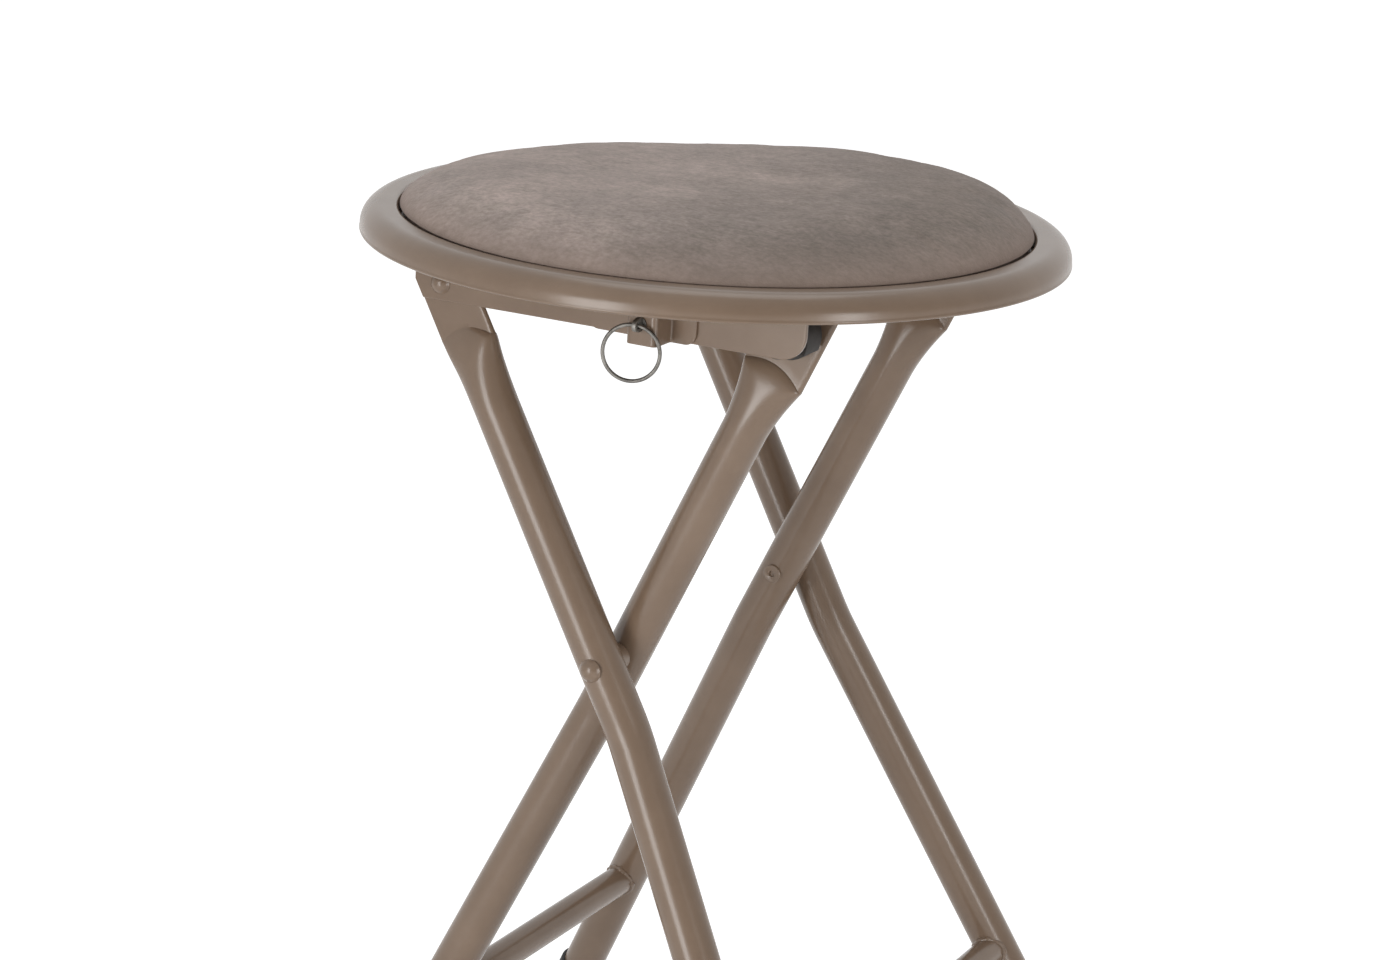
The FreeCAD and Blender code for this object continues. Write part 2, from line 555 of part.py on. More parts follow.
def seat_pan():
    """Dish with an open centre, a raised rim, a rounded shoulder, an outer wall and a rolled lip."""
    sheet = PAN_SHEET
    foot_centre = (RIM_INNER_RADIUS - PAN_FLOOR_BEND, PAN_FLOOR + PAN_FLOOR_BEND)
    top_centre = (RIM_INNER_RADIUS + RIM_INNER_BEND, RIM_TOP - RIM_INNER_BEND)
    shoulder_centre = (SEAT_RADIUS - RIM_SHOULDER, RIM_TOP - RIM_SHOULDER)
    bead_centre = (SEAT_RADIUS + LIP_BULGE - LIP_BEAD, LIP_BOTTOM + LIP_BEAD)
    edges = [
        line((PAN_OPENING_RADIUS, PAN_FLOOR), (foot_centre[0], PAN_FLOOR)),
        bend(foot_centre, PAN_FLOOR_BEND, -90, 0),
        line((RIM_INNER_RADIUS, foot_centre[1]), (RIM_INNER_RADIUS, top_centre[1])),
        bend(top_centre, RIM_INNER_BEND, 180, 90),
        line((top_centre[0], RIM_TOP), (shoulder_centre[0], RIM_TOP)),
        bend(shoulder_centre, RIM_SHOULDER, 90, 0),
        line((SEAT_RADIUS, shoulder_centre[1]), (SEAT_RADIUS, bead_centre[1])),
        line((SEAT_RADIUS, bead_centre[1]), (SEAT_RADIUS - sheet, bead_centre[1])),
        line((SEAT_RADIUS - sheet, bead_centre[1]), (SEAT_RADIUS - sheet, shoulder_centre[1])),
        bend(shoulder_centre, RIM_SHOULDER - sheet, 0, 90),
        line((shoulder_centre[0], RIM_TOP - sheet), (top_centre[0], RIM_TOP - sheet)),
        bend(top_centre, RIM_INNER_BEND - sheet, 90, 180),
        line((RIM_INNER_RADIUS + sheet, top_centre[1]), (RIM_INNER_RADIUS + sheet, foot_centre[1])),
        bend(foot_centre, PAN_FLOOR_BEND + sheet, 0, -90),
        line((foot_centre[0], FLANGE_TOP), (PAN_OPENING_RADIUS, FLANGE_TOP)),
        line((PAN_OPENING_RADIUS, FLANGE_TOP), (PAN_OPENING_RADIUS, PAN_FLOOR))]
    pan = turned(edges)
    pan = pan.fuse(Part.makeTorus(bead_centre[0], LIP_BEAD, V(0, 0, bead_centre[1])))
    for x, y in screw_places():
        pan = pan.cut(Part.makeCylinder(SCREW_RADIUS + HOLE_FIT, PAN_SHEET, V(x, y, FLANGE_TOP)))
    return pan


def screw_places():
    """Where the screws go through the rails and the pan."""
    return [(x, side * SCREW_Y) for side in (NEAR, FAR) for x in (SCREW_LEFT_X, SCREW_RIGHT_X)]


def pad_board():
    """Round board with pilot holes for the screws and the staples."""
    board = Part.makeCylinder(BOARD_RADIUS, BOARD_THICKNESS, V(0, 0, BOARD_BOTTOM))
    for x, y in screw_places():
        board = board.cut(Part.makeCylinder(SCREW_RADIUS, SCREW_IN_BOARD, V(x, y, BOARD_BOTTOM)))
    return board.cut(Part.makeCompound(staples()))


def cushion():
    """Foam and cover: low crown, rounded shoulder and a skirt down round the board."""
    side, shoulder, crown = [
        [(CUSHION_RADIUS * r, RIM_TOP + CUSHION_RISE * h) for r, h in shares]
        for shares in (CUSHION_SIDE_SHARES, CUSHION_SHOULDER_SHARES, CUSHION_CROWN_SHARES)]
    top = RIM_TOP + CUSHION_RISE
    edge, sag = crown[1][0], top - crown[1][1]
    ball = (edge ** 2 + sag ** 2) / (2 * sag)
    halfway = (edge / 2, top - ball + math.sqrt(ball ** 2 - (edge / 2) ** 2))
    skirt_radius = BOARD_RADIUS + SOFT_GAP
    skirt_bottom = BOARD_BOTTOM + SOFT_GAP
    roof = BOARD_TOP + SOFT_GAP
    edges = [
        line((0, roof), (skirt_radius, roof)),
        line((skirt_radius, roof), (skirt_radius, skirt_bottom)),
        line((skirt_radius, skirt_bottom), (side[0][0], skirt_bottom)),
        line((side[0][0], skirt_bottom), side[0]),
        arc(side[0], side[1], side[2]),
        arc(side[2], shoulder[0], shoulder[1]),
        arc(shoulder[1], crown[0], crown[1]),
        arc(crown[1], halfway, (0, top)),
        line((0, top), (0, roof))]
    return turned(edges)


def cover_hem():
    """Edge of the cover turned under the board and held by the staples."""
    outer = CUSHION_RADIUS
    hem = Part.makeCylinder(outer, HEM_THICKNESS, V(0, 0, PAN_FLOOR))
    hem = hem.cut(Part.makeCylinder(outer - HEM_WIDTH, HEM_THICKNESS, V(0, 0, PAN_FLOOR)))
    corner = Part.makeCylinder(outer, PAN_FLOOR_BEND, V(0, 0, PAN_FLOOR))
    corner = corner.cut(Part.makeCylinder(outer - PAN_FLOOR_BEND, PAN_FLOOR_BEND, V(0, 0, PAN_FLOOR)))
    for x, y in screw_places():
        hem = hem.cut(Part.makeCylinder(SCREW_RADIUS + HOLE_FIT, HEM_THICKNESS, V(x, y, PAN_FLOOR)))
    return hem.cut(corner).cut(Part.makeCompound(staples()))


def staples():
    """Staples in a ring: a crown across the hem and two legs up into the board."""
    radius = CUSHION_RADIUS - HEM_WIDTH / 2
    low = PAN_FLOOR + STAPLE_CLEAR
    result = []
    for index in range(STAPLE_COUNT):
        half = STAPLE_CROWN / 2
        crown = block(-half, half, -STAPLE_WIDTH / 2, STAPLE_WIDTH / 2, low, low + STAPLE_WIRE)
        high = BOARD_BOTTOM + STAPLE_LEG
        left = block(-half, -half + STAPLE_WIRE, -STAPLE_WIDTH / 2, STAPLE_WIDTH / 2, low, high)
        right = block(half - STAPLE_WIRE, half, -STAPLE_WIDTH / 2, STAPLE_WIDTH / 2, low, high)
        staple = crown.fuse([left, right]).removeSplitter()
        staple.translate(V(0, radius, 0))
        staple.rotate(V(0, 0, 0), V(0, 0, 1), 360 * (index + 0.5) / STAPLE_COUNT)
        result.append(staple)
    return result


def board_screws():
    """Pan-head screws up through hook pad, flange and pan into the board."""
    result = []
    for x, y in screw_places():
        seat = FLANGE_BOTTOM - (HOOK_THICKNESS if x == SCREW_RIGHT_X else 0)
        head = seat - SCREW_HEAD_HEIGHT
        screw = Part.makeCylinder(SCREW_RADIUS, BOARD_BOTTOM + SCREW_IN_BOARD - seat, V(x, y, seat))
        screw = screw.fuse(Part.makeCylinder(SCREW_HEAD_RADIUS, SCREW_HEAD_HEIGHT, V(x, y, head)))
        screw = screw.cut(Part.makeCylinder(SCREW_RECESS_RADIUS, SCREW_RECESS_DEPTH, V(x, y, head)))
        result.append(screw)
    return result


# Rails and hooks

def rail(side):
    """Angle with its web outside the leg's plate and its flange under the pan."""
    left = SEAT_PIVOT_X - RAIL_LEFT
    right = TOP_PIN_X + RAIL_RIGHT
    tab = right + RAIL_TAB
    corner = PIVOT_HEIGHT + RAIL_LEFT_CORNER
    slant = (corner - RAIL_BOTTOM) * math.tan(math.radians(OUTER_LEAN_DEG))
    inner = RAIL_INNER_Y - FLANGE_WIDTH
    section = rounded([
        (inner, FLANGE_TOP, 0), (inner, FLANGE_BOTTOM, 0),
        (RAIL_INNER_Y, FLANGE_BOTTOM, RAIL_INNER_BEND), (RAIL_INNER_Y, RAIL_BOTTOM, 0),
        (RAIL_OUTER_Y, RAIL_BOTTOM, 0), (RAIL_OUTER_Y, FLANGE_TOP, RAIL_OUTER_BEND)],
        lambda p: at(left, side, p.x, p.y))
    angle = Part.Face(section).extrude(V(tab - left, 0, 0))
    web = [(left, FLANGE_TOP, 0), (left, corner, RAIL_LEFT_ROUNDING),
           (left + slant, RAIL_BOTTOM, RAIL_LEFT_ROUNDING), (right, RAIL_BOTTOM, RAIL_RIGHT_ROUNDING), (right, FLANGE_TOP - RAIL_TAB, 0),
           (tab, FLANGE_TOP, 0)]
    angle = angle.common(upright_sheet(web, side, inner, RAIL_OUTER_Y))
    low, high = RAIL_BOTTOM, FLANGE_TOP
    start = SEAT_PIVOT_X + FLANGE_LEFT
    end = TOP_PIN_X + FLANGE_RIGHT
    angle = angle.cut(side_block(left, start, side, inner, RAIL_INNER_Y, low, high))
    angle = angle.cut(side_block(end, tab, side, inner, RAIL_INNER_Y, low, high))
    hole = SEAT_RIVET_RADIUS + HOLE_FIT
    angle = angle.cut(rod(hole, SEAT_PIVOT_X, side, RAIL_INNER_Y, RAIL_OUTER_Y, PIVOT_HEIGHT))
    for x, y in screw_places():
        angle = angle.cut(Part.makeCylinder(SCREW_RADIUS + HOLE_FIT, RAIL_SHEET, V(x, y, FLANGE_BOTTOM)))
    if side == NEAR:
        hole = PLUNGER_RADIUS + RUNNING_FIT
        angle = angle.cut(rod(hole, LATCH_X, side, RAIL_INNER_Y, RAIL_OUTER_Y, LATCH_HEIGHT))
        for x, z in latch_rivet_places():
            angle = angle.cut(rod(LATCH_RIVET_RADIUS, x, side, RAIL_INNER_Y, RAIL_OUTER_Y, z))
    return angle


def hook(side):
    """Strip under the flange, bent round the top pin's bush and open to the lower left."""
    centre = V(TOP_PIN_X, side * HOOK_END_Y, PIVOT_HEIGHT)
    inner = HOOK_RADIUS - HOOK_THICKNESS

    def polar(radius, angle_deg):
        turn = math.radians(angle_deg)
        return centre + V(radius * math.cos(turn), 0, radius * math.sin(turn))

    middle = (HOOK_START_DEG + 90) / 2
    outside = [polar(HOOK_RADIUS, a) for a in (HOOK_START_DEG, middle, 90)]
    inside = [polar(inner, a) for a in (90, middle, HOOK_START_DEG)]
    pad_top = V(PAD_END_X, centre.y, FLANGE_BOTTOM)
    pad_low = V(PAD_END_X, centre.y, FLANGE_BOTTOM - HOOK_THICKNESS)
    wire = Part.Wire([
        Part.Arc(*outside).toShape(), Part.LineSegment(outside[2], pad_top).toShape(),
        Part.LineSegment(pad_top, pad_low).toShape(), Part.LineSegment(pad_low, inside[0]).toShape(),
        Part.Arc(*inside).toShape(), Part.LineSegment(inside[2], outside[0]).toShape()])
    strip = Part.Face(wire).extrude(V(0, -side * HOOK_WIDTH, 0))
    hole = Part.makeCylinder(SCREW_RADIUS + HOLE_FIT, HOOK_THICKNESS,
                             V(SCREW_RIGHT_X, side * SCREW_Y, FLANGE_BOTTOM - HOOK_THICKNESS))
    return strip.cut(hole)


# Latch

def latch_rivet_places():
    """Where the bracket is riveted to the near rail."""
    left = LATCH_X - BRACKET_BOX_WIDTH / 2 - LATCH_RIVET_LEFT
    right = LATCH_X + BRACKET_BOX_WIDTH / 2 + LATCH_RIVET_RIGHT
    return [(x, LATCH_HEIGHT + LATCH_RIVET_RISE) for x in (left, right)]


def latch_bracket():
    """Hat of bent sheet on the rail: a box for the plunger between two flanges."""
    half = BRACKET_BOX_WIDTH / 2
    left, right = LATCH_X - half, LATCH_X + half
    start, end = left - BRACKET_LEFT_FLANGE, right + BRACKET_RIGHT_FLANGE
    sheet = BRACKET_SHEET
    outer, inner = BRACKET_BEND, BRACKET_BEND - sheet
    base, face, wall, front = RAIL_OUTER_Y, BRACKET_FACE_Y, BRACKET_WALL_Y, BRACKET_FRONT_Y
    hat = rounded([
        (start, base, 0), (left + sheet, base, outer), (left + sheet, wall, inner),
        (right - sheet, wall, inner), (right - sheet, base, outer), (end, base, 0),
        (end, face, 0), (right, face, inner), (right, front, outer),
        (left, front, outer), (left, face, inner), (start, face, 0)],
        lambda p: at(p.x, NEAR, p.y, BRACKET_BOTTOM))
    bracket = Part.Face(hat).extrude(V(0, 0, BRACKET_TOP - BRACKET_BOTTOM))
    trim = [(start, BRACKET_TOP, BRACKET_ROUNDING), (start, BRACKET_BOTTOM, BRACKET_ROUNDING),
            (end, BRACKET_BOTTOM, BRACKET_ROUNDING), (end, BRACKET_TOP, 0)]
    bracket = bracket.common(upright_sheet(trim, NEAR, base, front))
    hole = PLUNGER_RADIUS + RUNNING_FIT
    bracket = bracket.cut(rod(hole, LATCH_X, NEAR, wall, front, LATCH_HEIGHT))
    for x, z in latch_rivet_places():
        bracket = bracket.cut(rod(LATCH_RIVET_RADIUS, x, NEAR, base, face, z))
    return bracket


def latch_rivets():
    """Rivets through the bracket's flanges and the rail."""
    result = []
    for x, z in latch_rivet_places():
        rivet = rod(LATCH_RIVET_RADIUS, x, NEAR, RAIL_INNER_Y, BRACKET_FACE_Y, z)
        rivet = rivet.fuse(dome(LATCH_RIVET_HEAD_RADIUS, LATCH_RIVET_HEAD_RISE, x, NEAR, BRACKET_FACE_Y, z))
        tail_end = RAIL_INNER_Y - LATCH_RIVET_TAIL_THICKNESS
        rivet = rivet.fuse(rod(LATCH_RIVET_TAIL_RADIUS, x, NEAR, tail_end, RAIL_INNER_Y, z))
        result.append(rivet)
    return result


def plunger():
    """Pin with a collar and a nose pressed flat, with an eye across it for the ring."""
    nose_y = BRACKET_FRONT_Y + NOSE_START
    nose_end = nose_y + NOSE_LENGTH
    pin = rod(PLUNGER_RADIUS, LATCH_X, NEAR, PLUNGER_TIP_Y, nose_y, LATCH_HEIGHT)
    tip = [e for e in pin.Edges if e.isClosed() and abs(e.CenterOfMass.y + PLUNGER_TIP_Y) < RUNNING_FIT]
    pin = pin.makeChamfer(PLUNGER_CHAMFER, tip)
    pin = pin.fuse(rod(COLLAR_RADIUS, LATCH_X, NEAR, COLLAR_START_Y, COLLAR_END_Y, LATCH_HEIGHT))
    half = NOSE_THICKNESS / 2
    start = nose_y - HOLE_FIT
    low, high = LATCH_HEIGHT - PLUNGER_RADIUS, LATCH_HEIGHT + PLUNGER_RADIUS
    tongue = side_block(LATCH_X - half, LATCH_X + half, NEAR, start, nose_end - PLUNGER_RADIUS, low, high)
    end = Part.makeCylinder(PLUNGER_RADIUS, NOSE_THICKNESS,
                            at(LATCH_X - half, NEAR, nose_end - PLUNGER_RADIUS, LATCH_HEIGHT), V(1, 0, 0))
    eye = Part.makeCylinder(EYE_RADIUS, NOSE_THICKNESS, at(LATCH_X - half, NEAR, EYE_Y, LATCH_HEIGHT), V(1, 0, 0))
    return pin.fuse([tongue, end]).cut(eye)


def tangent_arc(start, tangent, end):
    """Arc that leaves start along a tangent and ends at a second point."""
    chord = end - start
    across = chord - tangent * chord.dot(tangent)
    across.normalize()
    radius = chord.dot(chord) / (2 * chord.dot(across))
    centre = start + across * radius
    out = (start + end) * 0.5 - centre
    return Part.Arc(start, centre + out.normalize() * radius, end).toShape()


def plunger_spring():
    """Coil spring between the collar and the bracket's front wall: one unbroken wire."""
    start = COLLAR_END_Y + SPRING_END_GAP + SPRING_WIRE_RADIUS
    end = BRACKET_WALL_Y - SPRING_END_GAP - SPRING_WIRE_RADIUS
    pitch = (end - start) / SPRING_TURNS
    quarters = 4 * SPRING_TURNS

    def point(turns):
        angle = 2 * math.pi * turns
        return V(LATCH_X + SPRING_COIL_RADIUS * math.cos(angle), -(start + pitch * turns),
                 LATCH_HEIGHT + SPRING_COIL_RADIUS * math.sin(angle))

    def tangent(turns):
        angle = 2 * math.pi * turns
        around = 2 * math.pi * SPRING_COIL_RADIUS
        return V(-around * math.sin(angle), -pitch, around * math.cos(angle)).normalize()

    edges = []
    for index in range(quarters):
        p0, p1 = point(index / 4), point((index + 1) / 4)
        t0, t1 = tangent(index / 4), tangent((index + 1) / 4)
        chord, both = p1 - p0, t0 + t1
        spread = 2 * (1 - t0.dot(t1))
        reach = (-chord.dot(both) + math.sqrt(chord.dot(both) ** 2 + spread * chord.dot(chord))) / spread
        joint = (p0 + t0 * reach + p1 - t1 * reach) * 0.5
        edges.append(tangent_arc(p0, t0, joint))
        edges.append(tangent_arc(p1, t1 * -1, joint))
    samples = [point(index / 24) for index in range(24 * SPRING_TURNS + 1)]
    gap = min((samples[i] - samples[j]).Length - 2 * SPRING_WIRE_RADIUS
              for i in range(len(samples)) for j in range(i + 12, len(samples)))
    print("plunger_spring: least gap between turns %.2f mm" % gap)
    section = Part.Wire([Part.Circle(point(0), tangent(0), SPRING_WIRE_RADIUS).toShape()])
    return Part.Wire(Part.sortEdges(edges)[0]).makePipeShell([section], True)


def pull_ring():
    """Wire ring that hangs in the plunger's eye, turned a little and askew."""
    turn, askew = math.radians(RING_TURN_DEG), math.radians(RING_ASKEW_DEG)
    level = V(math.cos(turn), math.sin(turn), 0)
    eye = at(LATCH_X, NEAR, EYE_Y, LATCH_HEIGHT)
    centre = eye - level * (RING_RADIUS * math.sin(askew)) - V(0, 0, RING_RADIUS * math.cos(askew))
    return Part.makeTorus(RING_RADIUS, RING_WIRE_RADIUS, centre, V(math.sin(turn), -math.cos(turn), 0))


def lock_link():
    """Flat link from the near top pin to the plunger, with rounded ends."""
    pin = at(TOP_PIN_X, NEAR, LINK_START_Y, PIVOT_HEIGHT)
    hole = at(LATCH_X, NEAR, LINK_START_Y, LATCH_HEIGHT)
    out = V(0, NEAR, 0)
    along = hole - pin
    length = along.Length
    bar = Part.makeBox(length, LINK_THICKNESS, 2 * LINK_HALF_WIDTH,
                       V(0, -LINK_THICKNESS, -LINK_HALF_WIDTH))
    tilt = math.degrees(math.atan2(LATCH_HEIGHT - PIVOT_HEIGHT, LATCH_X - TOP_PIN_X))
    bar.Placement = FreeCAD.Placement(pin, FreeCAD.Rotation(V(0, 1, 0), -tilt))
    for centre in (pin, hole):
        bar = bar.fuse(Part.makeCylinder(LINK_HALF_WIDTH, LINK_THICKNESS, centre, out))
    bar = bar.removeSplitter()
    bar = bar.cut(Part.makeCylinder(PIN_RADIUS + RUNNING_FIT, LINK_THICKNESS, pin, out))
    return bar.cut(Part.makeCylinder(PLUNGER_RADIUS + LINK_HOLE_FIT, LINK_THICKNESS, hole, out))


# Every node by name
NODES = {
    "seat_pan": lambda: [seat_pan()],
    "pad_board": lambda: [pad_board()],
    "cushion": lambda: [cushion()],
    "cover_hem": lambda: [cover_hem()],
    "hem_staples": staples,
    "board_screws": board_screws,
    "near_rail": lambda: [rail(NEAR)],
    "far_rail": lambda: [rail(FAR)],
    "near_hook": lambda: [hook(NEAR)],
    "far_hook": lambda: [hook(FAR)],
    "seat_rivets": lambda: [seat_rivet(side) for side in (NEAR, FAR)],
    "hinge_washers": lambda: [hinge_washer(side) for side in (NEAR, FAR)],
    "latch_bracket": lambda: [latch_bracket()],
    "latch_rivets": latch_rivets,
    "plunger_spring": lambda: [plunger_spring()],
    "plunger": lambda: [plunger()],
    "pull_ring": lambda: [pull_ring()],
    "near_outer_leg": lambda: [outer_leg(NEAR)],
    "far_outer_leg": lambda: [outer_leg(FAR)],
    "outer_crossbar": lambda: [crossbar(outer_axis, OUTER_CROSSBAR_HEIGHT)],
    "near_outer_foot": lambda: [foot(outer_axis, NEAR)],
    "far_outer_foot": lambda: [foot(outer_axis, FAR)],
    "crossing_rivets": lambda: [crossing_rivet(side) for side in (NEAR, FAR)],
    "pivot_spacers": lambda: [pivot_spacer(side) for side in (NEAR, FAR)],
    "near_inner_leg": lambda: [inner_leg(NEAR)],
    "far_inner_leg": lambda: [inner_leg(FAR)],
    "inner_crossbar": lambda: [crossbar(inner_axis, INNER_CROSSBAR_HEIGHT)],
    "near_inner_foot": lambda: [foot(inner_axis, NEAR)],
    "far_inner_foot": lambda: [foot(inner_axis, FAR)],
    "top_pins": lambda: [top_pin(side) for side in (NEAR, FAR)],
    "top_bushes": lambda: [top_bush(side) for side in (NEAR, FAR)],
    "lock_link": lambda: [lock_link()],
}

os.makedirs("parts", exist_ok=True)
for name, make in NODES.items():
    solids = [solid for shape in make() for solid in shape.Solids]
    shape = solids[0] if len(solids) == 1 else Part.makeCompound(solids)
    shape.exportStep("parts/" + name + ".step")
    box = shape.BoundBox
    print("%-16s %d solids, valid %s, %9.1f mm3, x %.1f..%.1f, y %.1f..%.1f, z %.1f..%.1f" % (
        name, len(solids), shape.isValid(), shape.Volume,
        box.XMin, box.XMax, box.YMin, box.YMax, box.ZMin, box.ZMax))
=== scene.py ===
# %% [markdown]
# # Folding stool
# This lesson dresses a folding stool: a padded seat in a pressed steel pan, on two crossed frames
# of bent steel tube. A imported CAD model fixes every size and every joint. Here each visible piece
# is drawn again as a finer surface, and gets the finish of the real one.

# %% The fixed frame
import math

import bmesh
import bpy
import numpy as np
from mathutils import Matrix


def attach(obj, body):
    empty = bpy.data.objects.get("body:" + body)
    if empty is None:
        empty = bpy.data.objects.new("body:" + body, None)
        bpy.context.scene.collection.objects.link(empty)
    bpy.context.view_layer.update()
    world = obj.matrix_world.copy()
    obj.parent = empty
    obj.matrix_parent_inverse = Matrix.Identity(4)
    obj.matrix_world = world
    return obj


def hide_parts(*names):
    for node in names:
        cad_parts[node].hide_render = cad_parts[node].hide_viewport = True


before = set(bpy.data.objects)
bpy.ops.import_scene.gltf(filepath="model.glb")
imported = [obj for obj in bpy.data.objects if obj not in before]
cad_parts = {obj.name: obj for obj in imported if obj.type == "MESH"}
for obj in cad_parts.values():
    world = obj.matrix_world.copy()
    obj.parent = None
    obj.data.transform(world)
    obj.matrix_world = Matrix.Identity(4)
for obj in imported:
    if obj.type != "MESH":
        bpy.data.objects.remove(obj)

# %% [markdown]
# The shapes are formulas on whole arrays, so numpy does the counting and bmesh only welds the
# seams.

MM = 0.001                      # pieces are worked out in millimetres and written in metres
NEAR, FAR = -1, 1               # the two sides of the stool: the latch is on the near one
SIDES = {NEAR: "near", FAR: "far"}
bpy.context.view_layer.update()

# %% [markdown]
# The camera stands where the photographer stood: low, a little to the right of the latch, with a
# long lens. Its place was found by fitting the round rim and the straight tubes, so it is written
# as numbers: the direction to the seat's centre, then a small tilt and roll of the camera itself.

# %% Camera
RIM_CENTRE = np.array([0.0, 0.0, 424.0])
VIEW_AZIMUTH, VIEW_HEIGHT, VIEW_ROLL = np.radians([27.445, 11.921, 3.341])
VIEW_YAW, VIEW_PITCH = np.radians([-0.033, -4.271])
VIEW_DISTANCE = 1416.7
LENS, SENSOR = 86.02, 36.0


def unit(vector):
    """The vector divided by its length."""
    return vector / np.linalg.norm(vector, axis=-1, keepdims=True)


def put(name, data):
    """New object in the scene."""
    made = bpy.data.objects.new(name, data)
    bpy.context.scene.collection.objects.link(made)
    return made


def stood(side, above, out, place):
    """Matrix whose own three axes are these directions, at a place in metres."""
    matrix = np.eye(4)
    matrix[:3] = np.stack([side, above, out, place], 1)
    return Matrix(matrix.tolist())


up = np.array([0.0, 0.0, 1.0])
stand = VIEW_DISTANCE * np.array([math.sin(VIEW_AZIMUTH) * math.cos(VIEW_HEIGHT),
                                  -math.cos(VIEW_AZIMUTH) * math.cos(VIEW_HEIGHT),
                                  math.sin(VIEW_HEIGHT)])
ahead = unit(-stand)
right = unit(np.cross(ahead, up))
ahead = unit(ahead + math.tan(VIEW_YAW) * right + math.tan(VIEW_PITCH) * np.cross(right, ahead))
right = unit(np.cross(ahead, up))
above = np.cross(right, ahead)
roll_right = math.cos(VIEW_ROLL) * right + math.sin(VIEW_ROLL) * above
roll_above = math.cos(VIEW_ROLL) * above - math.sin(VIEW_ROLL) * right

camera_data = bpy.data.cameras.new("camera")
camera_data.lens, camera_data.sensor_width = LENS, SENSOR
camera_data.clip_start, camera_data.clip_end = 0.05, 50.0
camera = put("camera", camera_data)
camera.matrix_world = stood(roll_right, roll_above, -ahead, (stand + RIM_CENTRE) * MM)
bpy.context.scene.camera = camera
print("camera at, mm:", (stand + RIM_CENTRE).round(1))

# %% [markdown]
# The stool stands in a plain white studio. A low soft box in front, a little to the left, draws
# one broad pale line down each tube and a soft patch on the rim. A narrow one on the right draws a
# thin second line, and one overhead lights the pad. The world fills the rest. The background is
# white because the camera, and anything shiny, sees the world and the floor at full strength, not
# because more light falls on the stool.

# %% Studio
def soft_box(name, azimuth_deg, middle, distance, width, tall, power):
    """Soft box that looks at the seat from an azimuth; its place and its sizes are in metres."""
    azimuth = math.radians(azimuth_deg)
    place = np.array([math.sin(azimuth) * distance, -math.cos(azimuth) * distance, middle])
    out = unit(place - RIM_CENTRE * MM)
    data = bpy.data.lights.new(name, "AREA")
    data.shape, data.size, data.size_y, data.energy = "RECTANGLE", width, tall, power
    side = unit(np.cross(-out, up))
    put(name, data).matrix_world = stood(side, np.cross(side, -out), out, place)


soft_box("front_box", -7, 0.37, 1.3, 0.42, 0.70, 6.4)
soft_box("side_strip", 68, 0.36, 1.3, 0.22, 0.6, 3.6)
soft_box("overhead_box", 205, 2.3, 0.65, 1.15, 1.15, 6.3)
bpy.context.scene.view_settings.view_transform = "Standard"
WORLD_FILL = 0.5

# %% [markdown]
# A finish is a small network of nodes. The helpers below add a node and feed its sockets by name,
# so that each finish further down reads like a list of what it is made of.

# %% Node helpers
def feed(tree, socket, value):
    """Links a socket to an output, or sets its value."""
    if isinstance(value, bpy.types.NodeSocket):
        tree.links.new(value, socket)
    else:
        socket.default_value = value


def fed(tree, made, values):
    """The node, with its sockets fed by name; an underscore stands for a space."""
    for name, value in values.items():
        feed(tree, made.inputs[name.replace("_", " ")], value)
    return made


def add(tree, kind, **values):
    """New node with its sockets fed by name."""
    return fed(tree, tree.nodes.new(kind), values)


def maths(tree, operation, first, second, kind="ShaderNodeMath"):
    """Maths node on two numbers or, as ShaderNodeVectorMath, on two vectors."""
    made = tree.nodes.new(kind)
    made.operation = operation
    feed(tree, made.inputs[0], first)
    feed(tree, made.inputs[1], second)
    return made.outputs


def ranged(tree, value, **ends):
    """Number carried from one range to another, from 0...1 to 0...1 where nothing else is said."""
    return add(tree, "ShaderNodeMapRange", Value=value, **ends).outputs["Result"]


def mixed(tree, kind, factor, first, second):
    """Two colours mixed (MIX) or multiplied (MULTIPLY) by a factor."""
    made = tree.nodes.new("ShaderNodeMix")
    made.data_type, made.blend_type = "RGBA", kind
    for socket, value in ((0, factor), (6, first), (7, second)):
        feed(tree, made.inputs[socket], value)
    return made.outputs[2]


def group(name, output, kind, **inputs):
    """Empty shader group with one output; its inputs are given as name and kind of socket."""
    tree = bpy.data.node_groups.new(name, "ShaderNodeTree")
    for label, socket in inputs.items():
        tree.interface.new_socket(label, in_out="INPUT", socket_type="NodeSocket" + socket)
    tree.interface.new_socket(output, in_out="OUTPUT", socket_type="NodeSocket" + kind)
    return tree, tree.nodes.new("NodeGroupInput").outputs, tree.nodes.new("NodeGroupOutput").inputs


def use(tree, shared, **values):
    """Output of a shared group, placed in a material and fed by name."""
    made = tree.nodes.new("ShaderNodeGroup")
    made.node_tree = shared
    return fed(tree, made, values).outputs[0]


# %% [markdown]
# Two effects serve several finishes. "relief" turns a fine noise into tiny hills: the orange peel
# of powder coat, the grain of moulded plastic or the nap of suede. "mottle" mixes a dark and a pale
# shade in soft patches, because no real surface has one even colour.

# %% Shared effects
relief, given, result = group("relief", "Normal", "Vector",
                              Place="Vector", Scale="Float", Depth="Float", Detail="Float")
hills = add(relief, "ShaderNodeTexNoise", Vector=given["Place"], Scale=given["Scale"], Detail=given["Detail"])
bumps = add(relief, "ShaderNodeBump", Height=hills.outputs["Fac"], Distance=given["Depth"])
relief.links.new(bumps.outputs["Normal"], result["Normal"])

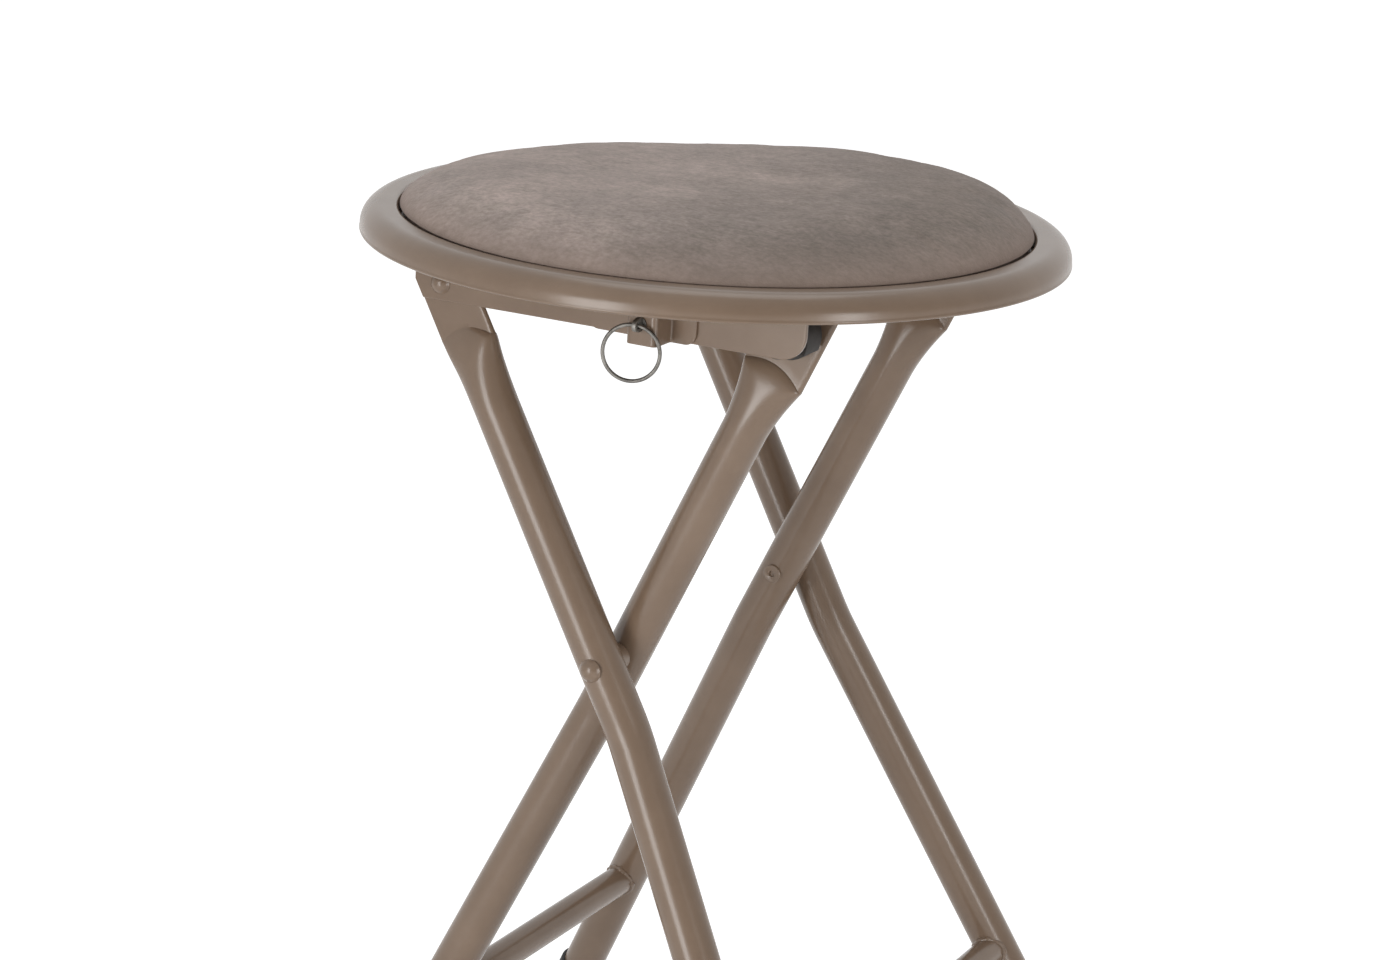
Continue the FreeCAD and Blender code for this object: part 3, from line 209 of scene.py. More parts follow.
mottle, given, result = group("mottle", "Color", "Color",
                              Place="Vector", Scale="Float", Dark="Color", Pale="Color", Spread="Float")
patches = add(mottle, "ShaderNodeTexNoise", Vector=given["Place"], Scale=given["Scale"], Detail=5.0,
              Roughness=0.6)
low = maths(mottle, "SUBTRACT", 0.5, given["Spread"])[0]
high = maths(mottle, "ADD", 0.5, given["Spread"])[0]
share = ranged(mottle, patches.outputs["Fac"], From_Min=low, From_Max=high)
mottle.links.new(mixed(mottle, "MIX", share, given["Dark"], given["Pale"]), result["Color"])

# %% [markdown]
# Each finish has the name of its material slot in the record. The powder coat is a satin grey-brown
# skin over the steel: its colour hardly varies, and its faint orange peel breaks up highlights.

# %% Finishes
FINISHES = {}


def finish(name, roughness, **settings):
    """Material with a Principled shader; gives its tree, shader and the object's coordinates."""
    made = bpy.data.materials.new(name)
    made.use_nodes = True
    FINISHES[name] = made
    tree = made.node_tree
    shader = fed(tree, tree.nodes["Principled BSDF"], {"Roughness": roughness, **settings})
    return tree, shader, tree.nodes.new("ShaderNodeTexCoord").outputs["Object"]


def tones(tree, place, scale, dark, pale, spread=0.15):
    """Soft patches of two shades."""
    return use(tree, mottle, Place=place, Scale=scale, Spread=spread, Dark=(*dark, 1), Pale=(*pale, 1))


def texture(tree, shader, place, scale, depth, detail=2.0):
    """Tiny hills on the whole surface."""
    bumpy = use(tree, relief, Place=place, Scale=scale, Depth=depth, Detail=detail)
    feed(tree, shader.inputs["Normal"], bumpy)


tree, shader, place = finish("powder_coat", 0.3)
coat = tones(tree, place, 35.0, (0.182, 0.123, 0.083), (0.204, 0.140, 0.096))
feed(tree, shader.inputs["Base Color"], coat)
texture(tree, shader, place, 700.0, 0.00002)
gloss = add(tree, "ShaderNodeTexNoise", Vector=place, Scale=60.0, Detail=3.0)
feed(tree, shader.inputs["Roughness"], ranged(tree, gloss.outputs["Fac"], To_Min=0.22, To_Max=0.29))

# %% [markdown]
# Suede cloth has short fibres that lie one way or the other wherever a hand has passed. So its tone
# changes in three sizes: a broad zone, paler and lilac on the left and darker towards the right, cloudy
# patches of a few centimetres, and fine strokes and flecks. The broad zone is partly the cloth's own
# tone and partly painted light: the left is painted lighter, where light and sheen fall, and the right
# is painted darker. The side, low on the pad, gets a warmer tone than the top: the difference paints
# the grey sheen that light lays on the top. A weak sheen gives the glow of fibres seen end on.

# %% Suede cover
# left tone painted lighter and right tone painted darker, as light and sheen fall; the warm side tone sets
# off the top's painted sheen
LEFT_TONE_AND_LIGHT, RIGHT_TONE_AND_SHADE, EDGE = (0.425, 0.360, 0.325, 1), (0.245, 0.207, 0.178, 1), (0.300, 0.222, 0.184, 1)
tree, shader, place = finish("cover", 0.92, Sheen_Weight=0.25, Sheen_Roughness=0.4,
                             Sheen_Tint=(0.86, 0.80, 0.79, 1), Specular_IOR_Level=0.15)
drift = add(tree, "ShaderNodeTexNoise", Vector=place, Scale=9.0, Detail=4.0, Roughness=0.6).outputs["Color"]
for operation, value in (("SUBTRACT", (0.5, 0.5, 0.5)), ("MULTIPLY", (0.16, 0.16, 0.16)), ("ADD", place)):
    drift = maths(tree, operation, drift, value, "ShaderNodeVectorMath")[0]
along = add(tree, "ShaderNodeSeparateXYZ", Vector=drift).outputs["X"]
# painted light and shade: paler on the left, darker towards the right, partly the cloth's own tone
tone = mixed(tree, "MIX", ranged(tree, along, From_Min=-0.02, From_Max=0.085), LEFT_TONE_AND_LIGHT, RIGHT_TONE_AND_SHADE)
strokes = add(tree, "ShaderNodeMapping", Vector=place, Scale=(1.0, 1.3, 1.0)).outputs[0]
for where, scale, spread, dark, pale in (
        (place, 24.0, 0.2, (0.80, 0.80, 0.80), (1.16, 1.13, 1.13)),         # cloudy patches
        (strokes, 110.0, 0.18, (0.87, 0.88, 0.86), (1.12, 1.10, 1.11)),     # strokes
        (strokes, 430.0, 0.18, (0.80, 0.80, 0.80), (1.19, 1.19, 1.19))):    # flecks
    tone = mixed(tree, "MULTIPLY", 1.0, tone, tones(tree, where, scale, dark, pale, spread))
height = add(tree, "ShaderNodeSeparateXYZ", Vector=place).outputs["Z"]
low_edge = ranged(tree, height, From_Min=0.430, From_Max=0.443, To_Min=0.75, To_Max=0.0)
# painted sheen: the top keeps a greyer tone than the warm side below it
feed(tree, shader.inputs["Base Color"], mixed(tree, "MIX", low_edge, tone, EDGE))
texture(tree, shader, place, 1500.0, 0.0002, 4.0)

# %% [markdown]
# The smaller parts: black rubber for the feet, zinc-plated steel for pins and screws, a duller steel
# for the latch's pin and ring, near-black steel for the hooks, nearly black nylon for bushes and
# washers, and bare plywood for the board. The near-black of the hooks and of the nylon is painted
# shade: it stands for the deep shade under the pan beside the rails' right ends, where the inner
# legs' bushes lie in their hooks. They differ only in numbers, so a table holds them: name,
# roughness, other settings, scale and two shades of the patches, scale and depth of the tiny hills.
# The wood's pattern is drawn out along its grain and has more contrast.

# %% Small finishes
# the hooks' settings: low gloss, which keeps their painted shade dark
METAL, PAINTED_SHADE_DARK, MOULDED = {"Metallic": 1.0}, {"Specular_IOR_Level": 0.25}, {"Specular_IOR_Level": 0.3}
for name, roughness, settings, scale, dark, pale, hill_scale, depth in (
        ("black_rubber", 0.62, {}, 60.0, (0.012, 0.012, 0.013), (0.024, 0.023, 0.023), 1200.0, 0.00006),
        ("zinc_steel", 0.34, METAL, 220.0, (0.26, 0.245, 0.235), (0.40, 0.385, 0.37), 2600.0, 0.00001),
        ("ring_steel", 0.5, METAL, 260.0, (0.13, 0.122, 0.112), (0.24, 0.228, 0.21), 2400.0, 0.00001),
        # painted shade: the hooks are near-black for the shade under the pan
        ("hook_steel", 0.6, PAINTED_SHADE_DARK, 180.0, (0.014, 0.011, 0.009), (0.026, 0.021, 0.018), 1800.0, 0.00001),
        # painted shade: the nylon is nearly black, as the bushes sit in shade
        ("nylon", 0.6, MOULDED, 90.0, (0.030, 0.026, 0.023), (0.040, 0.035, 0.031), 1600.0, 0.00002),
        ("plywood", 0.6, {}, 160.0, (0.38, 0.25, 0.13), (0.60, 0.44, 0.27), 900.0, 0.00005)):
    tree, shader, place = finish(name, roughness, **settings)
    spread = 0.15
    if name == "plywood":
        place = add(tree, "ShaderNodeMapping", Vector=place, Scale=(0.12, 1.0, 1.0)).outputs[0]
        spread = 0.2
    feed(tree, shader.inputs["Base Color"], tones(tree, place, scale, dark, pale, spread))
    texture(tree, shader, place, hill_scale, depth)
print("finishes:", ", ".join(FINISHES))

# %% [markdown]
# The floor is a plain sheet. Its own paleness is lit by the lamps, so the stool's soft shadow stays
# on it, and a little plain white is added for the camera and for reflections. Shiny surfaces see a
# white room that is darker on its open side, at the right of the photographer.

# %% Floor and background
FLOOR_REACH, FLOOR_TONE, FLOOR_GLOW = 14.0, 0.86, 0.6
OPEN_SIDE = (0.87, -0.5, 0.0)
white = (1, 1, 1, 1)
floor_mesh = bpy.data.meshes.new("floor")
corners = [(x * FLOOR_REACH, y * FLOOR_REACH, 0) for x, y in ((-1, -1), (1, -1), (1, 1), (-1, 1))]
floor_mesh.from_pydata(corners, [], [(0, 1, 2, 3)])
floor = put("floor", floor_mesh)
pale = bpy.data.materials.new("pale_floor")
pale.use_nodes = True
tree = pale.node_tree
path = tree.nodes.new("ShaderNodeLightPath").outputs
seen = maths(tree, "MAXIMUM", path["Is Camera Ray"], path["Is Glossy Ray"])[0]
fed(tree, tree.nodes["Principled BSDF"],
    {"Base Color": (FLOOR_TONE, FLOOR_TONE, FLOOR_TONE, 1), "Roughness": 0.8, "Emission Color": white,
     "Emission Strength": maths(tree, "MULTIPLY", seen, FLOOR_GLOW)[0]})
floor_mesh.materials.append(pale)

world = bpy.data.worlds.new("studio")
world.use_nodes = True
bpy.context.scene.world = world
tree = world.node_tree
path = tree.nodes.new("ShaderNodeLightPath").outputs
seen = maths(tree, "MAXIMUM", path["Is Camera Ray"], path["Is Transmission Ray"])[0]
level = ranged(tree, seen, To_Min=WORLD_FILL, To_Max=1.0)
compass = tree.nodes.new("ShaderNodeTexCoord").outputs["Generated"]
toward = maths(tree, "DOT_PRODUCT", compass, OPEN_SIDE, "ShaderNodeVectorMath")["Value"]
mirrored = ranged(tree, toward, From_Min=0.1, From_Max=0.9, To_Min=1.0, To_Max=0.4)
fed(tree, tree.nodes["Background"],
    {"Color": white, "Strength": ranged(tree, path["Is Glossy Ray"], To_Min=level, To_Max=mirrored)})

# %% [markdown]
# Every piece goes through one function. It takes patches: a grid of points whose neighbours make
# four-sided faces, or a single ring of points that makes one flat face. It welds the seams, turns
# all faces outwards, smooths the shading except at real creases, and hands the piece to the frame.

# %% From points to a piece
JOIN = 0.000002                 # points closer than this, in metres, become one


def closed_mesh(name, parts, slot, crease_deg):
    """Closed mesh from patches in millimetres: grids (rows x columns x 3) and flat rings (n x 3)."""
    points, faces, start = [], [], 0
    for part in parts:
        number = np.arange(part[..., 0].size).reshape(part.shape[:-1]) + start
        if part.ndim == 3:
            quads = np.stack([number[:-1, :-1], number[:-1, 1:], number[1:, 1:], number[1:, :-1]], -1)
            faces += quads.reshape(-1, 4).tolist()
        else:
            faces.append(number.tolist())
        points.append(part.reshape(-1, 3))
        start += number.size
    mesh = bpy.data.meshes.new(name)
    mesh.from_pydata((np.concatenate(points) * MM).tolist(), [], faces)
    work = bmesh.new()
    work.from_mesh(mesh)
    bmesh.ops.remove_doubles(work, verts=work.verts, dist=JOIN)
    bmesh.ops.recalc_face_normals(work, faces=work.faces)
    loose = sum(not edge.is_manifold for edge in work.edges)
    work.to_mesh(mesh)
    work.free()
    mesh.polygons.foreach_set("use_smooth", np.ones(len(mesh.polygons), bool))
    mesh.set_sharp_from_angle(angle=math.radians(crease_deg))
    mesh.materials.append(FINISHES[slot])
    made = put(name, mesh)
    print("%-18s %6d faces, %d open edges" % (name, len(mesh.polygons), loose))
    return made


def capped(grid):
    """A grid with a flat face on its first ring and on its last."""
    return [grid, grid[0, :-1], grid[-1, :-1]]


def build(name, parts, body, slot, *nodes, crease_deg=38):
    """Piece in a finish that moves with a body and takes the place of CAD nodes."""
    made = closed_mesh(name, parts, slot, crease_deg)
    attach(made, body)
    if nodes:
        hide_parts(*nodes)
    return made


# %% [markdown]
# Most metal parts begin as an outline on paper: straight runs joined by rounded corners. This
# helper draws such an outline as points. Beside each arc it adds one extra point on the straight
# run, so that the shading of a flat face stays flat up to its rounded edge.

# %% Outlines with rounded corners
def rounded(corners, closed=True, steps=8):
    """Line through corners (u, v, rounding): each corner is cut by an arc that touches both runs."""
    points = []
    count = len(corners)
    for index, (u, v, rounding) in enumerate(corners):
        corner = np.array([u, v], float)
        if rounding == 0 or (not closed and index in (0, count - 1)):
            points.append(corner[None])
            continue
        back = unit(np.array(corners[index - 1][:2], float) - corner)
        ahead = unit(np.array(corners[(index + 1) % count][:2], float) - corner)
        half = math.acos(np.clip(back @ ahead, -1, 1)) / 2
        reach = rounding / math.tan(half)
        centre = corner + unit(back + ahead) * rounding / math.sin(half)
        first, last = corner + back * reach - centre, corner + ahead * reach - centre
        share = np.linspace(0, 1, steps + 1)[:, None]
        sweep = math.pi - 2 * half
        bow = centre + (np.sin((1 - share) * sweep) * first + np.sin(share * sweep) * last) / math.sin(sweep)
        easing = min(0.3, 0.3 * rounding)
        points += [(bow[0] + back * easing)[None], bow, (bow[-1] + ahead * easing)[None]]
    if closed:
        points.append(points[0][:1])
    return np.concatenate(points)


# %% [markdown]
# Turned parts, such as rivets, bushes and the pan itself, are a profile carried round an axis.

# %% Turned parts
def full_turn(steps):
    """Angles once round, with the first again at the end."""
    return np.linspace(0, 2 * np.pi, steps + 1)


def circle(axis, spokes):
    """Unit directions at right angles to an axis, once round it."""
    axis = unit(np.array(axis, float))
    first = unit(np.cross(axis, up if abs(axis[2]) < 0.9 else np.array([1.0, 0, 0])))
    angle = full_turn(spokes)[:, None]
    return np.cos(angle) * first + np.sin(angle) * np.cross(axis, first)


def turned(profile, centre, axis, spokes=96):
    """Surface of revolution: each (radius, distance) of the profile goes once round the axis."""
    profile, centre, axis = np.array(profile, float), np.array(centre, float), unit(np.array(axis, float))
    return centre + profile[:, :1, None] * circle(axis, spokes) + profile[:, 1:, None] * axis


def pair(profile, x, z, spokes=96):
    """A turned part on both sides of the stool; the profile's distances run outwards from the middle."""
    return [turned(profile, (x, 0, z), (0, side, 0), spokes) for side in SIDES]


def dome_profile(radius, rise, rounding=0.25, steps=14):
    """Rivet head: an arc over the head that meets its flat underside in a small rounded edge."""
    ball = (radius ** 2 + rise ** 2) / (2 * rise)
    edge = math.asin(min(1.0, (radius - rounding) / ball))
    angle = np.linspace(0, edge, steps)
    arc = np.stack([ball * np.sin(angle), rise - ball * (1 - np.cos(angle))], 1)
    return np.concatenate([arc, [[radius, arc[-1, 1] * 0.45], [radius, 0.0], [0.0, 0.0]]])


# %% [markdown]
# Flat bars and bent sheets make up the rails, the hooks and the latch. A plate is an outline with a
# thickness. A folded sheet is a middle line with a thickness, carried sideways, where the two ends
# of each strip may lie at different places: that is how the cut corners of a bracket are made.
# Both get a small round on their edges, because sharp edges catch no light.

# %% Plates and folded sheets
def standing(side):
    """Way to place an outline upright along X, with its levels running outwards on that side."""
    return lambda u, v, level: np.stack([u, side * level, v], -1)


def plate(outline, low, high, place, rounding=0.4):
    """Plate between two levels: its outline, drawn in by a quarter circle along both edges."""
    turn = np.linspace(0, np.pi / 2, 5)
    inset, rise = rounding * (1 - np.sin(turn)), rounding * (1 - np.cos(turn))
    insets = np.concatenate([[rounding + 0.35], inset, inset[::-1], [rounding + 0.35]])
    levels = np.concatenate([[low], low + rise, high - rise[::-1], [high]])
    ring = outline[:-1] if np.allclose(outline[0], outline[-1]) else outline
    along = unit(np.roll(ring, -1, 0) - np.roll(ring, 1, 0))
    inward = np.stack([-along[:, 1], along[:, 0]], 1)
    area = np.sum(ring[:, 0] * np.roll(ring[:, 1], -1) - ring[:, 1] * np.roll(ring[:, 0], -1))
    inward = inward * np.sign(area)
    rows = ring + insets[:, None, None] * inward
    rows = np.concatenate([rows, rows[:, :1]], 1)
    return capped(place(rows[..., 0], rows[..., 1], np.broadcast_to(levels[:, None], rows.shape[:2])))


def folded(line, thickness, low, high, place, rounding=0.35):
    """Bent sheet: a middle line (n x 2) with a thickness, carried from low to high at each point."""
    low, high = np.broadcast_to(low, len(line)), np.broadcast_to(high, len(line))
    ahead = unit(np.gradient(line, axis=0))
    side = np.stack([-ahead[:, 1], ahead[:, 0]], 1) * thickness / 2
    middle = np.concatenate([line[:1], line, line[-1:], line[::-1], line[:1]])
    offset = np.concatenate([side[:1] * 0, side, side[:1] * 0, -side[::-1], side[:1] * 0])
    bottom = np.concatenate([low[:1], low, low[-1:], low[::-1], low[:1]])
    top = np.concatenate([high[:1], high, high[-1:], high[::-1], high[:1]])
    turn = np.linspace(0, np.pi / 2, 4)
    shares = 1 - 2 * rounding / thickness * (1 - np.sin(turn))
    shares = np.concatenate([[0], shares, [1, 1], shares[::-1], [0]])
    rise = rounding * (1 - np.cos(turn))
    lift = np.concatenate([[0], rise, [rounding + 0.3], [0], [0] * 4, [0]])
    drop = np.concatenate([[0], [0] * 4, [0], [rounding + 0.3], rise[::-1], [0]])
    upper = np.concatenate([np.zeros(6), np.ones(6)])
    level = np.where(upper[:, None] > 0, top - drop[:, None], bottom + lift[:, None])
    section = middle + shares[:, None, None] * offset
    return [place(section[..., 0], section[..., 1], level)]


# %% [markdown]
# ## The seat pan
# The pan is pressed from one steel sheet: a dish for the pad, a raised rim with a round shoulder,
# and an outer wall that ends in a thin rolled lip. It could be a torus and a disc, but only the
# real profile gives the narrow line of light along the lip. So its section is drawn and turned.

# %% Seat pan
SHEET = 1.2
PAN_UNDER, PAN_FLOOR, RIM_TOP = 421.8, 423.0, 431.0
SEAT_RADIUS, RIM_INSIDE, PAN_OPENING = 150.0, 134.0, 72.0
SHOULDER = 8.5
BEAD, BEAD_HEIGHT, BEAD_RADIUS = 0.9, 420.9, 149.3

outside = rounded([(PAN_OPENING, PAN_FLOOR, 0), (RIM_INSIDE, PAN_FLOOR, 1.5), (RIM_INSIDE, RIM_TOP, 1.8),
                   (SEAT_RADIUS, RIM_TOP, SHOULDER), (SEAT_RADIUS, BEAD_HEIGHT + BEAD, 0)],
                  closed=False, steps=14)
lip_turn = np.linspace(np.radians(28), np.radians(-180), 16)
lip = np.stack([BEAD_RADIUS + BEAD * np.cos(lip_turn), BEAD_HEIGHT + BEAD * np.sin(lip_turn)], 1)
inside = rounded([(SEAT_RADIUS - SHEET, BEAD_HEIGHT + 1.2, 0),
                  (SEAT_RADIUS - SHEET, RIM_TOP - SHEET, SHOULDER - SHEET),
                  (RIM_INSIDE + SHEET, RIM_TOP - SHEET, 0.6), (RIM_INSIDE + SHEET, PAN_UNDER, 2.7),
                  (PAN_OPENING, PAN_UNDER, 0)], closed=False, steps=10)
pan_profile = np.concatenate([outside, lip, inside, outside[:1]])
build("pressed_pan", [turned(pan_profile, (0, 0, 0), (0, 0, 1), 320)], "seat", "powder_coat", "seat_pan")

# %% [markdown]
# ## The leg tubes
# Each leg is a steel tube whose top end was pressed flat, so that it can carry a pivot. Between the
# flat end and the round tube the metal swells out again behind a curved crease. Lower down the
# tube is bent outwards, to give the stool a wider stance. One grid follows the whole leg: rows run
# along it, columns run round it. In the pressed end the rows follow the crease, so it stays crisp,
# and the press leaves a low ridge along it that catches a line of light.

# %% Leg tubes
PIVOT_HEIGHT, SEAT_PIVOT_X, TOP_PIN_X = 406.5, -74.6, 74.8
CROSSING_X, CROSSING_HEIGHT = 7.0, 257.6
OUTER_Y, INNER_Y = 93.5, 70.2
TUBE = 9.5
BEND_BELOW, BEND_RADIUS = 30.8, 80.0
PLATE_THICK, PLATE_TOP = 3.0, 421.0
CREASE_DIP, FLARE_RUN = 5.0, 28.0
RIDGE_HEIGHT, RIDGE_WIDTH = 0.28, 0.45
CRISP, SOFTER = 0.56, 0.3       # powers of the swell behind the crease, and what a soft side adds
SQUARENESS, NARROWING = 18, 1.7     # how flat the pressed end is, and how it narrows to the tube
TUBE_END = 6.0                  # the tube stops this high, inside the foot
LEG_COLUMNS = 96


class Leg:
    """One leg's directions and bend, and its flat end: half width, end radius, crease and its slant."""

    def __init__(self, pivot_x, out, side, splay_deg, plate_half, end_radius, crease_edge, slant):
        self.top = np.array([pivot_x, side * out, PIVOT_HEIGHT])
        reach = np.array([CROSSING_X - pivot_x, 0, CROSSING_HEIGHT - PIVOT_HEIGHT])
        self.down = unit(reach)
        self.across = np.cross(self.down, [0, 1, 0])
        self.outward = np.array([0.0, side, 0])
        self.splay = math.radians(splay_deg)
        self.plate_half, self.end_radius = plate_half, end_radius
        self.crease_edge, self.slant = crease_edge, slant
        self.flare_end = crease_edge + slant + FLARE_RUN
        self.corner = np.linalg.norm(reach) + BEND_BELOW
        self.foot_down = self.down * math.cos(self.splay) + self.outward * math.sin(self.splay)
        self.bend_point = self.top + self.down * self.corner

    def axis_at(self, height):
        """Point of the lower run's axis at a height above the floor."""
        return self.bend_point + self.foot_down * (height - self.bend_point[2]) / self.foot_down[2]


LEGS = {}
for side in SIDES:
    LEGS["outer", side] = Leg(SEAT_PIVOT_X, OUTER_Y, side, 9.6, 12.8, 14.3, 25.0, 2.5)
    LEGS["inner", side] = Leg(TOP_PIN_X, INNER_Y, side, 5.6, 14.2, 18.3, 22.0, 0.0)


def pressed_end(leg):
    """Flattened end and flare. The end is a circle about the pivot, cut by straight sides and level
    under the pan. Half the thickness grows behind the crease as a quarter circle does, and slower
    towards the soft side of the outer legs."""
    angle = full_turn(LEG_COLUMNS)
    place = np.cos(angle)
    face = np.sign(np.sin(angle).round(9))
    edge = leg.crease_edge + leg.slant * place
    crease = edge - CREASE_DIP * (1 - place ** 2)
    wide = leg.plate_half * place
    level = (PLATE_TOP - PIVOT_HEIGHT - wide * leg.across[2]) / -leg.down[2]
    tip = -np.minimum(np.sqrt(leg.end_radius ** 2 - wide ** 2), level)
    step = np.linspace(0, 1, 32)[:, None] ** 1.9
    flat_down = tip + (crease - tip) * step
    step = np.linspace(0, 1, 41)[1:, None] ** 1.7
    flare_down = crease + (leg.flare_end - crease) * step
    down = np.concatenate([flat_down, flare_down])
    grown = np.clip((down - crease) / (leg.flare_end - crease), 0, 1)
    swell = (1 - (1 - grown) ** 2) ** (CRISP + (SOFTER * (1 - place) if leg.slant else 0.0))
    thick = PLATE_THICK / 2 + (TUBE - PLATE_THICK / 2) * swell
    past = np.clip((down - edge) / (leg.flare_end - edge), 0, 1)
    half = TUBE + (leg.plate_half - TUBE) * (1 - past) ** NARROWING
    fullness = 2 + SQUARENESS * (1 - swell) ** 3
    bulge = thick * np.sqrt(1 - np.abs(place) ** fullness)
    ridge = RIDGE_HEIGHT * np.exp(-((down - crease + 0.3) / RIDGE_WIDTH) ** 2) * (1 - place ** 2) ** 0.25
    bulge = bulge + ridge
    rim = np.sqrt(1 - np.clip(1 - (down - tip) / (PLATE_THICK / 2), 0, 1) ** 2)
    return (leg.top + down[..., None] * leg.down + (half * place)[..., None] * leg.across
            + (bulge * rim * face)[..., None] * leg.outward)


def round_run(leg):
    """Round tube from the flare to the foot: circles along a straight run, an arc and a straight one."""
    reach = BEND_RADIUS * math.tan(leg.splay / 2)
    first = np.linspace(leg.flare_end, leg.corner - reach, 5)
    turn = np.linspace(0, leg.splay, 13)[1:, None]
    end = leg.axis_at(TUBE_END)
    upper = leg.top + first[:, None] * leg.down
    bow = upper[-1] + BEND_RADIUS * (np.sin(turn) * leg.down + (1 - np.cos(turn)) * leg.outward)
    lower = bow[-1] + np.linspace(0, 1, 6)[1:, None] * (end - bow[-1])
    centre = np.concatenate([upper, bow, lower])
    lean = np.concatenate([np.zeros((5, 1)), turn, np.full((5, 1), leg.splay)])
    away = np.cos(lean) * leg.outward - np.sin(lean) * leg.down
    angle = full_turn(LEG_COLUMNS)[:, None]
    return centre[:, None] + TUBE * (np.cos(angle) * leg.across + np.sin(angle) * away[:, None])


for (kind, side), leg in LEGS.items():
    run = round_run(leg)
    build("%s_%s_tube" % (SIDES[side], kind), [pressed_end(leg), run, run[-1, :-1]],
          kind + "_frame", "powder_coat", "%s_%s_leg" % (SIDES[side], kind))

# %% [markdown]
# ## Crossbars and their welds
# A thinner tube ties each pair of legs together near the floor. Its ends are cut to the curve of
# the legs and welded. The weld is a small uneven bead, made here as a thin tube carried along the
# line where the two round surfaces meet, with a radius that wanders a little.

# %% Crossbars
BAR_RADIUS, BEAD_SIZE = 7.0, 1.25
BAR_HEIGHTS = {"outer": 78.0, "inner": 82.0}
SIDEWAYS = np.array([0.0, 1, 0])


def upright_ring(angle):
    """Unit directions round the Y axis."""
    return np.stack([np.cos(angle), np.zeros_like(angle), np.sin(angle)], -1)


bar_angle = full_turn(64)
bar_ring = upright_ring(bar_angle)


def saddle(leg, centre):
    """Distance along Y from the bar's centre to the leg's round side, for each angle round the bar."""
    start = centre + bar_ring * BAR_RADIUS - leg.bend_point
    start = start - (start @ leg.foot_down)[..., None] * leg.foot_down
    step = SIDEWAYS - leg.foot_down[1] * leg.foot_down
    a, b, c = step @ step, start @ step, np.sum(start * start, -1) - TUBE ** 2
    root = np.sqrt(b * b - a * c)
    return np.where(leg.outward[1] > 0, -b - root, -b + root) / a


def weld_bead(centre, reach, inward, seed):
    """Thin tube along the joint line; its radius is a sum of a few waves round the bar."""
    waves = np.random.default_rng(seed)
    size = BEAD_SIZE + sum(a * np.sin(k * bar_angle + p) for k, a, p in
                           zip((2, 5, 9, 14), waves.uniform(0.05, 0.22, 4), waves.uniform(0, 6.28, 4)))
    spine = centre + bar_ring * (BAR_RADIUS - 0.1) + (reach + inward * 0.2)[:, None] * SIDEWAYS
    round_it = full_turn(14)[:, None, None]
    return spine + size[:, None] * (np.cos(round_it) * bar_ring + np.sin(round_it) * SIDEWAYS)


for seed, kind in enumerate(("outer", "inner")):
    near, far = LEGS[kind, NEAR], LEGS[kind, FAR]
    centre = near.axis_at(BAR_HEIGHTS[kind])
    centre[1] = 0
    low, high = saddle(near, centre), saddle(far, centre)
    along = (low - 1) + (high - low + 2) * np.linspace(0, 1, 9)[:, None]    # ends inside the legs
    bar = centre + bar_ring * BAR_RADIUS + along[..., None] * SIDEWAYS
    beads = [weld_bead(centre, low, 1, seed), weld_bead(centre, high, -1, seed + 7)]
    build(kind + "_bar", capped(bar), kind + "_frame", "powder_coat", kind + "_crossbar")
    build(kind + "_welds", beads, kind + "_frame", "powder_coat")

# %% [markdown]
# ## Rubber feet
# Each tube stands in a black rubber cap. The cap is turned about the tube, but its sole lies flat
# on the floor, so each line down its side runs on until it meets the floor.

# %% Feet
FOOT_RADIUS, FOOT_TOP, FOOT_LIP, GROOVE = 11.0, 27.5, 0.9, (0.35, 0.5, 0.35)


def foot_cap(leg, spokes=72):
    """Cap round the tube: a rounded lip, a plain side with one shallow groove, and a flat sole."""
    axis = -leg.foot_down
    ring = circle(axis, spokes)
    top = leg.axis_at(FOOT_TOP)
    turn = np.linspace(0, np.pi / 2, 7)
    lip = np.stack([FOOT_RADIUS - FOOT_LIP + FOOT_LIP * np.sin(turn), FOOT_LIP * (1 - np.cos(turn))], 1)
    radii = np.concatenate([[TUBE - 0.3, TUBE + 0.2], lip[:, 0], np.full(9, FOOT_RADIUS)])
    radii[-6:-3] -= GROOVE
    drops = np.concatenate([[0.4, 0.0], lip[:, 1]])
    upper = top + radii[:9, None, None] * ring - drops[:, None, None] * axis
    floor_drop = (top[2] + FOOT_RADIUS * ring[:, 2]) / axis[2]
    share = np.array([0.1, 0.3, 0.5, 0.60, 0.63, 0.66, 0.8, 0.94, 1.0])[:, None]
    down = FOOT_LIP + (floor_drop - FOOT_LIP) * share
    lower = top + radii[9:, None, None] * ring - down[..., None] * axis
    sole = lower[-1] * 0.94 + lower[-1].mean(0) * 0.06
    lower[-1] += (lower[-1] - lower[-1].mean(0)) * -0.02
    lower[-1, :, 2] = 0.0
    sole[:, 2] = 0.0
    return [np.concatenate([upper, lower, sole[None]]), sole[:-1], upper[0, :-1]]


for (kind, side), leg in LEGS.items():
    build("%s_%s_cap" % (SIDES[side], kind), foot_cap(leg), kind + "_frame", "black_rubber",
          "%s_%s_foot" % (SIDES[side], kind))

# %% [markdown]
# ## Crossing pivots
# A rivet with a round head joins the legs where they cross, and a spacer keeps the tubes apart.

# %% Rivets and spacers of the crossing
RIVET_RADIUS, SPACER_BORE, SPACER_RADIUS = 3.0, 3.2, 6.0
SPACER_START, SPACER_END = INNER_Y + TUBE + 0.1, OUTER_Y - TUBE + 1.8


